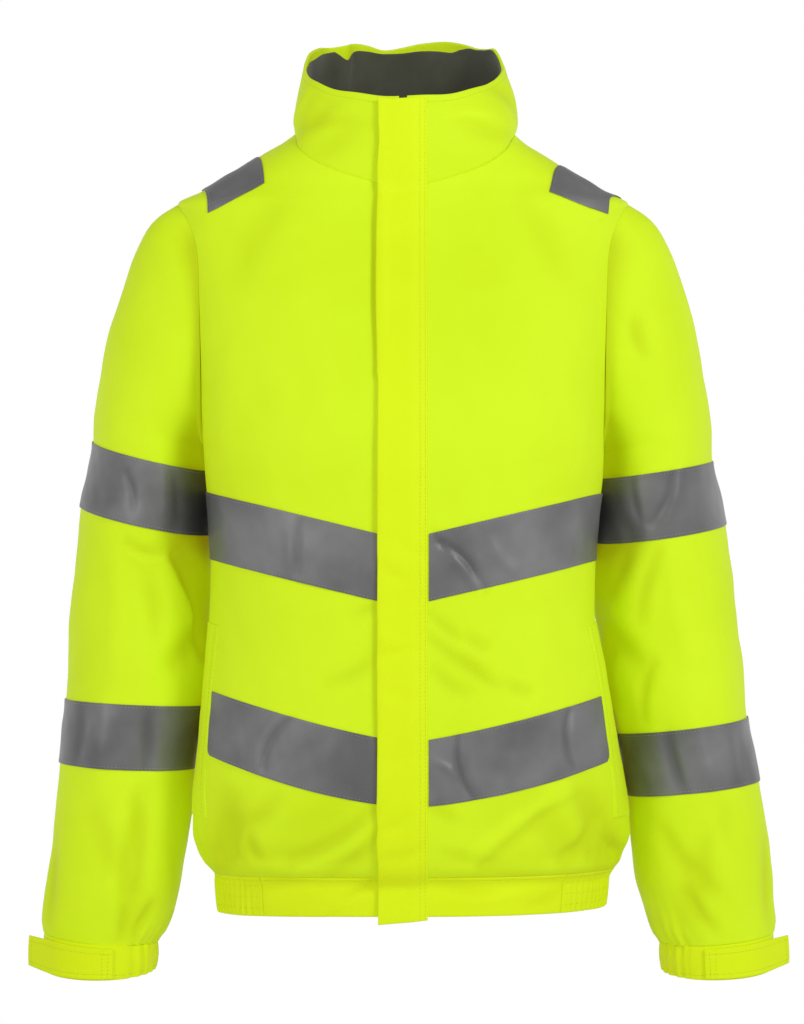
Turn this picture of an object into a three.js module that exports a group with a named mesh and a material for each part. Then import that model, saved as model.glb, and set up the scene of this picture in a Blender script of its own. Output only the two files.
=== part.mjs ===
// A waist-length hi-vis work jacket, standing as it is worn, with nobody in it.
//
// Millimetres, +Z up. The front faces -Y, and +X is the wearer's left. The origin
// is between the shoulders, level with the neck points, where the wearer carries it.
import * as THREE from "three";

// Cloth and trim
const SHELL = 2.4; // coated shell, wadding and lining together
const KNIT = 1.4; // collar lining
const TAPE = 1.0;
const BAND = 3.0; // folded hem and cuff bands
const FLAP = 2.0;
const WELT = 1.6;
const SEAM = 0.3; // gap between pieces that are sewn edge to edge
const LAID = 0.45; // gap under a piece that lies on another
const SLEEVE_CLEAR = 3.5; // least gap between a hanging sleeve and the torso

// Front closure
const FLAP_WIDTH = 38;
const FLAP_GAP = 1.85; // under the flap, which lies on the folded edges of the fronts
const ZIP_WIDTH = 6;
const PANEL_START = ZIP_WIDTH / 2 + SEAM;
const TRIM_START = FLAP_WIDTH / 2 + 0.8;

// Armhole, an oval seen from the side
const PIT_Z = -225;
const TIP_Z = -33;
const ARMHOLE_FRONT = 54;
const ARMHOLE_BACK = 62;
const ARMHOLE_POWER = 2.3;
const ARMHOLE_STEPS = 10; // from armpit to shoulder tip, on each side

// Hem band
const HEM_HEIGHT = 30.5;
const HEM_FRONT = -559;
const HEM_SIDE = -561;
const HEM_GATHER_ANGLE = 46; // where the plain fronts end and the elastic starts
const HEM_GATHERS = 84;
const HEM_FRONT_STEPS = 5;
const GATHER_DEPTH = 1.1;

// Cuffs
const CUFF_GATHERS = 18;
const CUFF_GATHER_DEPTH = 1.6;
const CUFF_FULLNESS = 0.8;
const CUFF_PLAIN = { from: 60, to: 190 }; // degrees round the cuff, 90 in front
const CUFF_PLAIN_STEPS = 8;
const TAB_FOOT = 0.06; // share of the cuff's height at which the tab starts
const TAB_TOP = 0.92;
const TAB_WRAP = [74, 88, 102, 116, 130, 142]; // degrees at which it follows the cuff
const TAB_FREE = 29; // the loose end that stands away from the cuff
const TAB_FREE_SHARES = [0.5, 1];
const TAB_TAPER = 1.5;

// Torso sections, from the hem up. centre is the shift to the wearer's left, half
// the half-width, widest how far the widest line lies in front of the side seam,
// front and back the depths from the side seam, and the powers round the corners.
const TORSO = [
  { z: -600, centre: 7, half: 153.5, widest: 15, front: 112, back: 120, frontPower: 2.3, backPower: 2.0 },
  { z: -567, centre: 7, half: 155.5, widest: 15, front: 114, back: 122, frontPower: 2.3, backPower: 2.0 },
  { z: -552, centre: 7, half: 167, widest: 18, front: 124, back: 132, frontPower: 2.3, backPower: 2.0 },
  { z: -530, centre: 7, half: 174, widest: 20, front: 131, back: 138, frontPower: 2.3, backPower: 2.0 },
  { z: -500, centre: 6, half: 172, widest: 22, front: 134, back: 138, frontPower: 2.3, backPower: 2.0 },
  { z: -450, centre: 4, half: 165, widest: 25, front: 132, back: 136, frontPower: 2.3, backPower: 1.9 },
  { z: -400, centre: 2, half: 158.5, widest: 28, front: 130, back: 134, frontPower: 2.3, backPower: 1.9 },
  { z: -350, centre: 0, half: 152, widest: 30, front: 128, back: 134, frontPower: 2.3, backPower: 1.9 },
  { z: -316, centre: 0, half: 151.5, widest: 32, front: 128, back: 136, frontPower: 2.3, backPower: 1.9 },
  { z: -250, centre: 0, half: 156, widest: 33, front: 128, back: 140, frontPower: 2.3, backPower: 1.9 },
  { z: -180, centre: 0, half: 161, widest: 28, front: 121, back: 142, frontPower: 2.3, backPower: 2.0 },
  { z: -110, centre: 0, half: 170, widest: 18, front: 105, back: 136, frontPower: 2.3, backPower: 2.1 },
  { z: -60, centre: 0, half: 178, widest: 6, front: 88, back: 122, frontPower: 2.2, backPower: 2.1 },
  { z: -33, centre: 0, half: 180, widest: 0, front: 78, back: 112, frontPower: 2.2, backPower: 2.1 },
  { z: -20, centre: 0, half: 159.5, widest: 0, front: 74, back: 107, frontPower: 2.2, backPower: 2.1 },
  { z: -10, centre: 0, half: 144, widest: 0, front: 73, back: 103, frontPower: 2.2, backPower: 2.1 },
  { z: 0, centre: 0, half: 126.5, widest: 0, front: 72, back: 99, frontPower: 2.2, backPower: 2.1 },
  { z: 9, centre: 0, half: 110.5, widest: 0, front: 72, back: 95, frontPower: 2.2, backPower: 2.1 },
  { z: 18, centre: 1, half: 95.5, widest: 0, front: 72, back: 91, frontPower: 2.2, backPower: 2.1 },
  { z: 26, centre: 2, half: 87, widest: 0, front: 72, back: 88, frontPower: 2.2, backPower: 2.1 },
  { z: 45, centre: 2, half: 84, widest: 0, front: 72, back: 86, frontPower: 2.2, backPower: 2.1 },
];

// Grid lines across the panels, from the hem seam up. front, side and back are the
// heights at the centre front, the side and the centre back. bend shapes the slope
// between them, and skew raises the side on the wearer's right and lowers the left.
const LOWER_LINES = [
  { name: "hem_seam", front: HEM_FRONT, side: HEM_SIDE, back: HEM_SIDE, bend: 2, skew: -2.5 },
  { name: "blouse_low", front: -550, side: -550, back: -550, bend: 1.5, skew: -1.5 },
  { name: "blouse", front: -539, side: -536, back: -536, bend: 0.87, skew: 0 },
  { name: "welt_foot", front: -524, side: -516, back: -516, bend: 0.87, skew: 0 },
  { name: "low_tape_foot", front: -503.5, side: -465, back: -465, bend: 1.35, skew: 2.5 },
  { name: "low_tape_middle", front: -479, side: -441, back: -440, bend: 1.2, skew: 2.2 },
  { name: "low_tape_top", front: -454, side: -416.5, back: -415, bend: 1.05, skew: 2 },
  { name: "welt_top", front: -404, side: -364, back: -364, bend: 0.87, skew: 0 },
  { name: "up_tape_foot", front: -350.5, side: -315, back: -313, bend: 0.87, skew: 0.5 },
  { name: "up_tape_middle", front: -325, side: -288.5, back: -288, bend: 0.87, skew: 0.5 },
  { name: "up_tape_top", front: -299, side: -262, back: -262, bend: 0.87, skew: 0.5 },
];
const ARMHOLE_FOOT = { front: -262, back: -225, bend: 0.87 };
const ARMHOLE_HEAD = { front: -74, back: -62, bend: 2.4 };
const SHOULDER_LINES = [
  { name: "shoulder_1", front: -62, side: -25, back: -46, bend: 2.5, skew: 3.2 },
  { name: "shoulder_2", front: -49, side: -12, back: -28, bend: 2.5, skew: 3.2 },
  { name: "shoulder_3", front: -38, side: 1.5, back: -8, bend: 2.2, skew: 3.2 },
  { name: "shoulder_4", front: -31, side: 13, back: 14, bend: 1.6, skew: 0 },
  { name: "neckline", front: -24, side: 24, back: 33, bend: 1.15, skew: 0 },
];

// Shares of the way round a panel at which its grid has a line
const FRONT_SHARES = [0, 0.11, 0.22, 0.33, 0.44, 0.55, 0.655, 0.77, 0.885, 1];
const BACK_SHARES = [0, 0.115, 0.23, 0.345, 0.45, 0.56, 0.67, 0.78, 0.89, 1];
const WELT_COLUMN = 7; // front grid line where the low tape ends and the welt starts

// Tape over each shoulder, by its corners seen from above: x from the centre line
// at the shoulder seam and at its ends, and how far those ends lie from the seam.
const SHOULDER_TAPE = {
  right: {
    outer: { seamX: 160.3, endX: 153.4, reach: 46.7 },
    inner: { seamX: 117.6, endX: 108.8, reach: 56.7 },
  },
  left: {
    outer: { seamX: 174.6, endX: 160.8, reach: 41 },
    inner: { seamX: 130.5, endX: 114.3, reach: 60 },
  },
};
const SHOULDER_TAPE_STEPS = 6; // from the seam to each end
const SHOULDER_TAPE_GAP = 1.6;

// Soft folds on the torso, as troughs (negative) and ridges between two points
const TORSO_FOLDS = [
  { face: "front", x1: 142, z1: -492, x2: 168, z2: -556, width: 13, depth: -5 },
  { face: "front", x1: -138, z1: -505, x2: -143, z2: -558, width: 13, depth: -5 },
  { face: "front", x1: 96, z1: -500, x2: 140, z2: -557, width: 16, depth: -4 },
  { face: "front", x1: -40, z1: -500, x2: -110, z2: -556, width: 20, depth: -3.5 },
  { face: "front", x1: 45, z1: -470, x2: 88, z2: -552, width: 20, depth: -3 },
  { face: "front", x1: 60, z1: -120, x2: 120, z2: -230, width: 30, depth: 2.5 },
  { face: "back", x1: 120, z1: -480, x2: 128, z2: -558, width: 14, depth: -5 },
  { face: "back", x1: -110, z1: -490, x2: -124, z2: -558, width: 15, depth: -5 },
  { face: "back", x1: 62, z1: -500, x2: 70, z2: -558, width: 14, depth: -5 },
  { face: "back", x1: -48, z1: -480, x2: -56, z2: -558, width: 16, depth: -5 },
  { face: "back", x1: 8, z1: -510, x2: 5, z2: -560, width: 13, depth: -4 },
  { face: "back", x1: 130, z1: -150, x2: 60, z2: -300, width: 26, depth: -5 },
  { face: "back", x1: -128, z1: -160, x2: -66, z2: -290, width: 26, depth: -5 },
  { face: "back", x1: 0, z1: -330, x2: 10, z2: -420, width: 30, depth: -4 },
];
const FOLD_FADE = 50; // from the side seam, where a fold reaches its full depth

// Sleeve sections, from the end of the sleeve head down to the cuff's foot. reach is
// the distance of the middle from the centre line, half and depth the half-axes
// sideways and to the front, set how far the middle lies behind the side seam, tilt
// the rise of the outer side in degrees, and dip the fall towards the front.
const SLEEVES = {
  right: [
    { name: "head", z: -214, reach: 200.5, half: 49.5, depth: 71, set: 25, tilt: 14, dip: 0.05 },
    { name: "up_tape_top", z: -232, reach: 201.5, half: 49.5, depth: 70, set: 25, tilt: 13.5, dip: 0.07 },
    { name: "up_tape_middle", z: -258, reach: 204, half: 51.5, depth: 69, set: 25, tilt: 12.7, dip: 0.075 },
    { name: "up_tape_foot", z: -284, reach: 206.5, half: 54.5, depth: 68, set: 24, tilt: 12, dip: 0.08 },
    { name: "elbow_top", z: -332, reach: 208, half: 57, depth: 66, set: 22, tilt: 9, dip: 0.02 },
    { name: "elbow", z: -382, reach: 211, half: 58, depth: 63, set: 18, tilt: 7, dip: 0.03 },
    { name: "low_tape_top", z: -429.7, reach: 214, half: 56.5, depth: 60, set: 15, tilt: 2.5, dip: 0 },
    { name: "low_tape_middle", z: -455, reach: 217.5, half: 55, depth: 58, set: 13, tilt: 2.5, dip: 0.01 },
    { name: "low_tape_foot", z: -480.3, reach: 220.5, half: 54, depth: 57, set: 12, tilt: 2.5, dip: 0.015 },
    { name: "forearm", z: -521, reach: 225, half: 54.4, depth: 55, set: 9, tilt: 3, dip: 0.04 },
    { name: "wrist_top", z: -562, reach: 230, half: 54, depth: 51, set: 6, tilt: 4, dip: 0.06 },
    { name: "wrist", z: -592, reach: 235, half: 52, depth: 47, set: 4, tilt: 4.5, dip: 0.07 },
    { name: "wrist_foot", z: -607, reach: 239, half: 49.5, depth: 44, set: 2, tilt: 5, dip: 0.08 },
    { name: "cuff_seam", z: -616, reach: 241.5, half: 45.5, depth: 41, set: 0, tilt: 5, dip: 0.08 },
    { name: "cuff_foot", z: -642, reach: 242, half: 45, depth: 41, set: 0, tilt: 0, dip: 0.14 },
  ],
  left: [
    { name: "head", z: -222, reach: 200, half: 49, depth: 71, set: 25, tilt: 10, dip: 0.03 },
    { name: "up_tape_top", z: -243.5, reach: 200.5, half: 48.5, depth: 70, set: 25, tilt: 8.5, dip: 0.04 },
    { name: "up_tape_middle", z: -269, reach: 203, half: 50.5, depth: 69, set: 25, tilt: 8, dip: 0.055 },
    { name: "up_tape_foot", z: -294.4, reach: 205.5, half: 53.5, depth: 68, set: 24, tilt: 7.8, dip: 0.065 },
    { name: "elbow_top", z: -342, reach: 209, half: 57, depth: 66, set: 22, tilt: 8, dip: 0.02 },
    { name: "elbow", z: -394, reach: 215.5, half: 57, depth: 63, set: 18, tilt: 8, dip: 0.03 },
    { name: "low_tape_top", z: -448.2, reach: 224.5, half: 53, depth: 60, set: 15, tilt: 6.9, dip: 0.01 },
    { name: "low_tape_middle", z: -473.3, reach: 229, half: 52.6, depth: 58, set: 13, tilt: 6.7, dip: 0.01 },
    { name: "low_tape_foot", z: -498.5, reach: 233, half: 52.8, depth: 57, set: 12, tilt: 6.5, dip: 0.01 },
    { name: "forearm", z: -531, reach: 236.5, half: 54, depth: 55, set: 9, tilt: 6, dip: 0.04 },
    { name: "wrist_top", z: -566, reach: 240.5, half: 54, depth: 51, set: 6, tilt: 5, dip: 0.06 },
    { name: "wrist", z: -592, reach: 245, half: 51.5, depth: 47, set: 4, tilt: 5, dip: 0.07 },
    { name: "wrist_foot", z: -607, reach: 248, half: 49.5, depth: 44, set: 2, tilt: 5, dip: 0.08 },
    { name: "cuff_seam", z: -616, reach: 250.5, half: 45.5, depth: 41, set: 0, tilt: 5, dip: 0.08 },
    { name: "cuff_foot", z: -642, reach: 251.5, half: 45, depth: 41, set: 0, tilt: 2, dip: 0.13 },
  ],
};

// Rings of the sleeve head: the share of the way from the armhole to the first
// section, and the least gap to the torso there.
const HEAD_RINGS = [
  { share: 0, clear: SEAM },
  { share: 0.1, clear: 1.3 },
  { share: 0.25, clear: 2.4 },
  { share: 0.46, clear: SLEEVE_CLEAR },
  { share: 0.72, clear: SLEEVE_CLEAR },
];
// How strongly the sleeve head holds the way it leaves the armhole and meets the sleeve
const HEAD_LEAVE = 0.7;
const HEAD_ARRIVE = 0.35;

// Folds on a sleeve, round it from the inner side (0) past the front (90)
const SLEEVE_FOLDS = [
  { angle1: 60, z1: -300, angle2: 10, z2: -370, width: 13, depth: -5 },
  { angle1: 55, z1: -395, angle2: 15, z2: -360, width: 12, depth: -4 },
  { angle1: 300, z1: -310, angle2: 350, z2: -375, width: 14, depth: -5 },
  { angle1: 110, z1: -520, angle2: 60, z2: -600, width: 13, depth: -3 },
  { angle1: 250, z1: -530, angle2: 285, z2: -600, width: 14, depth: -4 },
  { angle1: 235, z1: -330, angle2: 215, z2: -420, width: 16, depth: -4 },
];

// Collar: where its top edge lies, and how it swells between neckline and edge
const COLLAR_TOP = { centre: 0.5, half: 80, front: 76, back: 83, frontZ: 47, backZ: 109, power: 2.2 };
const COLLAR_SWELL = { front: 1.5, right: 2.5, left: 6.5, back: 9 };
const COLLAR_RINGS = [0, 0.2, 0.42, 0.64, 0.84, 1];
const COLLAR_STEPS = 30;
const LINING_DROP = { front: 0.8, back: 6 }; // its top edge below the shell's

const RADIANS = Math.PI / 180;
const RIGHT = -1;
const LEFT = 1;

const powerOf = (value, exponent) => Math.sign(value) * Math.abs(value) ** exponent;
const mix = (a, b, share) => a + (b - a) * share;
const clamp = (value, low, high) => Math.min(high, Math.max(low, value));
const spread = (from, to, steps) => Array.from({ length: steps }, (_, k) => mix(from, to, k / steps));

// Reads one column of a table at a height, on a smooth curve with no overshoot.
function readTable(table, key, z) {
  let i = 1;
  while (i < table.length - 1 && table[i].z < z) i++;
  const secant = (k) => (table[k + 1][key] - table[k][key]) / (table[k + 1].z - table[k].z);
  const slope = (k) => {
    if (k === 0) return secant(0);
    if (k === table.length - 1) return secant(k - 1);
    const [before, after] = [secant(k - 1), secant(k)];
    return before * after <= 0 ? 0 : (2 * before * after) / (before + after);
  };
  const [a, b] = [table[i - 1], table[i]];
  const span = b.z - a.z;
  const t = clamp((z - a.z) / span, 0, 1);
  return (
    a[key] * (1 + 2 * t) * (1 - t) ** 2 +
    slope(i - 1) * span * t * (1 - t) ** 2 +
    b[key] * t * t * (3 - 2 * t) +
    slope(i) * span * t * t * (t - 1)
  );
}

function sectionAt(z) {
  const section = {};
  for (const key of Object.keys(TORSO[0])) section[key] = key === "z" ? z : readTable(TORSO, key, z);
  return section;
}

// A point of the torso, at an angle round it from the centre front to the wearer's left.
function torsoPoint(angle, z) {
  const s = sectionAt(z);
  const [sine, cosine] = [Math.sin(angle * RADIANS), Math.cos(angle * RADIANS)];
  const power = cosine > 0 ? s.frontPower : s.backPower;
  const depth = cosine > 0 ? s.front - s.widest : s.back + s.widest;
  const x = s.centre + s.half * powerOf(sine, 2 / power);
  const forward = s.widest + depth * powerOf(cosine, 2 / power);
  return new THREE.Vector3(x, -forward, z);
}

// The way out of the torso at a point.
function torsoNormal(angle, z) {
  const around = torsoPoint(angle + 0.5, z).sub(torsoPoint(angle - 0.5, z));
  const up = torsoPoint(angle, z + 1).sub(torsoPoint(angle, z - 1));
  return around.cross(up).normalize();
}

// The angle, from the centre front, at which the torso is this far in front of the side seam.
function angleAtForward(z, forward) {
  const s = sectionAt(z);
  const ahead = forward - s.widest;
  const cosine = ahead > 0
    ? powerOf(ahead / (s.front - s.widest), s.frontPower / 2)
    : powerOf(ahead / (s.back + s.widest), s.backPower / 2);
  return Math.acos(clamp(cosine, -1, 1)) / RADIANS;
}

// The angle on the front at which the torso is this far to the wearer's left.
function angleAtX(z, x) {
  const s = sectionAt(z);
  return Math.asin(clamp(powerOf((x - s.centre) / s.half, s.frontPower / 2), -1, 1)) / RADIANS;
}

// How far a set of folds moves a point, from its distance to each fold's line.
function foldShift(folds, u, v) {
  let shift = 0;
  for (const fold of folds) {
    const [du, dv] = [fold.u2 - fold.u1, fold.v2 - fold.v1];
    const along = ((u - fold.u1) * du + (v - fold.v1) * dv) / (du * du + dv * dv);
    const near = clamp(along, 0, 1);
    const off = Math.hypot(u - fold.u1 - near * du, v - fold.v1 - near * dv);
    shift += fold.depth * Math.exp(-((off / fold.width) ** 2)) * (0.55 + 0.45 * Math.sin(Math.PI * near));
  }
  return shift;
}

// Folds of the torso die out towards the side and shoulder seams.
function torsoFoldShift(point) {
  const face = point.y < 0 ? "front" : "back";
  const folds = TORSO_FOLDS.filter((fold) => fold.face === face).map((fold) => ({
    ...fold, u1: fold.x1, v1: fold.z1, u2: fold.x2, v2: fold.z2,
  }));
  const fade = clamp(Math.abs(point.y) / FOLD_FADE, 0, 1);
  return foldShift(folds, point.x, point.z) * fade * fade * (3 - 2 * fade);
}

// The armhole at an angle round it: 0 at the armpit, 90 at the front, 180 at the tip.
function armholePlace(angle) {
  const [sine, cosine] = [Math.sin(angle * RADIANS), Math.cos(angle * RADIANS)];
  const reach = sine > 0 ? ARMHOLE_FRONT : ARMHOLE_BACK;
  return {
    z: (PIT_Z + TIP_Z) / 2 - ((TIP_Z - PIT_Z) / 2) * powerOf(cosine, 2 / ARMHOLE_POWER),
    forward: reach * powerOf(sine, 2 / ARMHOLE_POWER),
  };
}

// The panel grid lines, with the angles at which the front and back panels end.
function gridLines() {
  const body = LOWER_LINES.map((line) => ({ ...line, edge: 0 }));
  const arm = [];
  for (let step = 0; step <= ARMHOLE_STEPS; step++) {
    const place = armholePlace((180 * step) / ARMHOLE_STEPS);
    const behind = armholePlace(360 - (180 * step) / ARMHOLE_STEPS);
    const share = (place.z - PIT_Z) / (TIP_Z - PIT_Z);
    arm.push({
      name: "armhole_" + step,
      front: mix(ARMHOLE_FOOT.front, ARMHOLE_HEAD.front, share),
      side: place.z,
      back: mix(ARMHOLE_FOOT.back, ARMHOLE_HEAD.back, share),
      bend: mix(ARMHOLE_FOOT.bend, ARMHOLE_HEAD.bend, share * share),
      skew: 0,
      edge: place.forward,
      backEdge: behind.forward,
    });
  }
  return [...body, ...arm, ...SHOULDER_LINES.map((line) => ({ ...line, edge: 0 }))];
}
const LINES = gridLines();
const lineIndex = (name) => LINES.findIndex((line) => line.name === name);

// Height of a grid line at a turn from the centre front or centre back.
function lineHeight(line, side, face, turn) {
  const sideZ = line.side - side * line.skew;
  const edge = endTurn(line, side, face);
  const whole = edge < 90 ? Math.sin(edge * RADIANS) : 1;
  const share = Math.sin(Math.min(Math.abs(turn), 90) * RADIANS) / whole;
  return sideZ + (line[face] - sideZ) * (1 - Math.min(share, 1) ** line.bend);
}

// A point on a grid line, and the way out of the torso there. turn is the angle from
// the centre front or centre back.
function linePlace(line, side, face, turn) {
  const z = lineHeight(line, side, face, turn);
  const angle = side * (face === "front" ? turn : 180 - turn);
  return { point: torsoPoint(angle, z), normal: torsoNormal(angle, z) };
}

// How far round from the centre front or back a panel reaches on this line.
function endTurn(line, side, face) {
  const forward = face === "front" ? line.edge : (line.backEdge ?? 0);
  const angle = angleAtForward(line.side - side * line.skew, forward);
  return face === "front" ? angle : 180 - angle;
}

// Normals of a grid of points, facing away from the inside of the garment.
function withNormals(points, closed, outward) {
  const last = points.length - 1;
  const columns = points[0].length;
  const normals = points.map((row, i) => row.map((_, j) => {
    const below = points[Math.max(i - 1, 0)][j];
    const above = points[Math.min(i + 1, last)][j];
    const before = row[closed ? (j + columns - 1) % columns : Math.max(j - 1, 0)];
    const after = row[closed ? (j + 1) % columns : Math.min(j + 1, columns - 1)];
    const normal = after.clone().sub(before).cross(above.clone().sub(below)).normalize();
    return normal.multiplyScalar(outward);
  }));
  return { points, normals, closed };
}

// The part of a grid between two rows and two columns.
function cutGrid(grid, rowFrom, rowTo, columnFrom = 0, columnTo = Infinity) {
  const cut = (rows) => rows.slice(rowFrom, rowTo + 1).map((row) => row.slice(columnFrom, columnTo + 1));
  return { points: cut(grid.points), normals: cut(grid.normals), closed: grid.closed };
}

// A closed wall on a grid: its outer face is raised by lift, and its inner face lies
// thickness below that.
function wallGeometry(grid, thickness, lift = 0) {
  const rows = grid.points.length;
  const columns = grid.points[0].length;
  const positions = [];
  for (const raise of [lift, lift - thickness])
    for (let i = 0; i < rows; i++)
      for (let j = 0; j < columns; j++)
        positions.push(...grid.points[i][j].clone().addScaledVector(grid.normals[i][j], raise));
  const at = (face, i, j) => face * rows * columns + i * columns + (j % columns);
  const triangles = [];
  const quad = (a, b, c, d) => triangles.push(a, b, c, a, c, d);
  const across = grid.closed ? columns : columns - 1;
  for (let i = 0; i < rows - 1; i++)
    for (let j = 0; j < across; j++) {
      quad(at(0, i, j), at(0, i, j + 1), at(0, i + 1, j + 1), at(0, i + 1, j));
      quad(at(1, i, j), at(1, i + 1, j), at(1, i + 1, j + 1), at(1, i, j + 1));
    }
  for (let j = 0; j < across; j++) {
    quad(at(0, 0, j), at(1, 0, j), at(1, 0, j + 1), at(0, 0, j + 1));
    quad(at(0, rows - 1, j), at(0, rows - 1, j + 1), at(1, rows - 1, j + 1), at(1, rows - 1, j));
  }
  const last = columns - 1;
  if (!grid.closed)
    for (let i = 0; i < rows - 1; i++) {
      quad(at(0, i, 0), at(0, i + 1, 0), at(1, i + 1, 0), at(1, i, 0));
      quad(at(0, i, last), at(1, i, last), at(1, i + 1, last), at(0, i + 1, last));
    }
  return closedGeometry(positions, triangles);
}

// Makes the geometry, turned so that its faces point out.
function closedGeometry(positions, triangles) {
  const corner = (k) => new THREE.Vector3().fromArray(positions, 3 * triangles[k]);
  let volume = 0;
  for (let k = 0; k < triangles.length; k += 3)
    volume += corner(k).dot(corner(k + 1).cross(corner(k + 2)));
  if (volume < 0)
    for (let k = 0; k < triangles.length; k += 3)
      [triangles[k + 1], triangles[k + 2]] = [triangles[k + 2], triangles[k + 1]];
  const geometry = new THREE.BufferGeometry();
  geometry.setAttribute("position", new THREE.Float32BufferAttribute(positions, 3));
  geometry.setIndex(triangles);
  geometry.computeVertexNormals();
  return geometry;
}

// A panel's grid from its places on the torso, with the folds pressed in.
function panelGrid(places) {
  for (const row of places)
    for (const place of row)
      place.shift = torsoFoldShift(place.point);
  const points = places.map((row) => row.map((place) =>
    place.point.clone().addScaledVector(place.normal, place.shift)));
  return { points, normals: places.map((row) => row.map((place) => place.normal)), closed: false };
}

// A front panel: from the zip to the side seam, armhole and shoulder seam.
function frontGrid(side) {
  const grid = panelGrid(LINES.map((line) => {
    const end = endTurn(line, side, "front");
    const zipTurn = side * angleAtX(line.front, side * PANEL_START);
    const trimTurn = side * angleAtX(line.front, side * TRIM_START);
    const turns = [zipTurn, ...FRONT_SHARES.map((share) => mix(trimTurn, end, share))];
    return turns.map((turn) => linePlace(line, side, "front", turn));
  }));
  shortenEdge(grid.points, 0, SEAM);
  return grid;
}

// The back panel: from the wearer's left side seam round to the right one.
function backGrid() {
  const grid = panelGrid(LINES.map((line) => {
    const half = (side) => BACK_SHARES.map((share) => {
      const turn = mix(endTurn(line, side, "back"), 0, share);
      return linePlace(line, side, "back", turn);
    });
    return [...half(LEFT), ...half(RIGHT).reverse().slice(1)];
  }));
  for (const row of grid.points) {
    const last = row.length - 1;
    moveTowards(row[0], row[1], SEAM);
    moveTowards(row[last], row[last - 1], SEAM);
  }
  shortenEdge(grid.points, 0, SEAM);
  return grid;
}

const moveTowards = (point, target, distance) =>
  point.add(target.clone().sub(point).setLength(distance));

// Draws a panel's first row of points in by a seam's gap.
function shortenEdge(points, row, distance) {
  points[row].forEach((point, j) => moveTowards(point, points[row + 1][j], distance));
}

// The torso's side at a height, this far in front of the side seam.
function torsoSide(side, z, forward) {
  const s = sectionAt(z);
  const ahead = forward - s.widest;
  const [depth, power] = ahead > 0 ? [s.front - s.widest, s.frontPower] : [s.back + s.widest, s.backPower];
  const share = Math.max(0, 1 - Math.abs(ahead / depth) ** power) ** (1 / power);
  return new THREE.Vector3(s.centre + side * s.half * share, -forward, z);
}

// Height of the torso over a point of the plan, this far in front of the side seam.
function shoulderZ(x, forward) {
  let [low, high] = [TIP_Z - 40, TORSO[TORSO.length - 1].z];
  for (let step = 0; step < 30; step++) {
    const middle = (low + high) / 2;
    if (torsoSide(Math.sign(x), middle, forward).x * Math.sign(x) > Math.abs(x)) low = middle;
    else high = middle;
  }
  return low;
}

// The strip of tape over a shoulder, from its back end to its front end.
function shoulderTapeGrid(side) {
  const { outer, inner } = side === RIGHT ? SHOULDER_TAPE.right : SHOULDER_TAPE.left;
  const rows = [0, 0.5, 1].map((inward) => {
    const seamX = mix(outer.seamX, inner.seamX, inward);
    const endX = mix(outer.endX, inner.endX, inward);
    const reach = mix(outer.reach, inner.reach, inward);
    return Array.from({ length: 2 * SHOULDER_TAPE_STEPS + 1 }, (_, k) => {
      const along = k / SHOULDER_TAPE_STEPS - 1;
      const x = side * mix(seamX, endX, Math.abs(along));
      const forward = reach * along;
      const z = shoulderZ(x, forward);
      const angle = side * angleAtForward(z, forward);
      return { point: torsoSide(side, z, forward), normal: torsoNormal(angle, z) };
    });
  });
  return {
    points: rows.map((row) => row.map((place) => place.point)),
    normals: rows.map((row) => row.map((place) => place.normal)),
    closed: false,
  };
}

// A point of a sleeve section: 0 at the inner side, 90 at the front, 180 outside.
function sleevePoint(side, row, angle) {
  const outward = -Math.cos(angle * RADIANS) * row.half;
  const forward = Math.sin(angle * RADIANS) * row.depth;
  const tilt = row.tilt * RADIANS;
  return new THREE.Vector3(
    side * (row.reach + outward * Math.cos(tilt)),
    row.set - forward,
    row.z + outward * Math.sin(tilt) - forward * row.dip,
  );
}

// The way a sleeve leaves the armhole at an angle round it.
function headDirection(side, angle) {
  const [sine, cosine] = [Math.sin(angle * RADIANS), Math.cos(angle * RADIANS)];
  const top = clamp(-cosine, 0, 1);
  const foot = clamp(cosine, 0, 1);
  const outward = 0.34 + 0.64 * top - 0.2 * foot;
  const forward = 0.12 * sine;
  const down = -(0.94 - 0.76 * top + 0.05 * foot);
  return new THREE.Vector3(side * outward, -forward, down).normalize();
}

function sleeveGrid(side) {
  const table = side === RIGHT ? SLEEVES.right : SLEEVES.left;
  const steps = 2 * ARMHOLE_STEPS;
  const angles = Array.from({ length: steps }, (_, k) => (360 * k) / steps);
  const rings = [];
  for (const head of HEAD_RINGS)
    rings.push(angles.map((angle) => headPoint(side, table, angle, head.share)));
  for (const row of table.slice(0, -1))
    rings.push(angles.map((angle) => sleevePoint(side, row, angle)));
  const plain = withNormals(rings, true, -side);
  const folds = SLEEVE_FOLDS.map((fold) => ({
    ...fold, u1: fold.angle1, v1: fold.z1, u2: fold.angle2, v2: fold.z2,
  }));
  const pressed = rings.map((row, i) => row.map((point, j) => {
    const shift = foldShift(folds, angles[j], point.z);
    const moved = point.clone().addScaledVector(plain.normals[i][j], shift);
    return clearOfTorso(side, moved, i < HEAD_RINGS.length ? HEAD_RINGS[i].clear : SLEEVE_CLEAR);
  }));
  return withNormals(pressed, true, -side);
}

// Moves a point out sideways until it is this far from the torso.
function clearOfTorso(side, point, distance) {
  const reach = side * torsoSide(side, point.z, -point.y).x + distance;
  if (side * point.x < reach) point.x = side * reach;
  return point;
}

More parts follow.
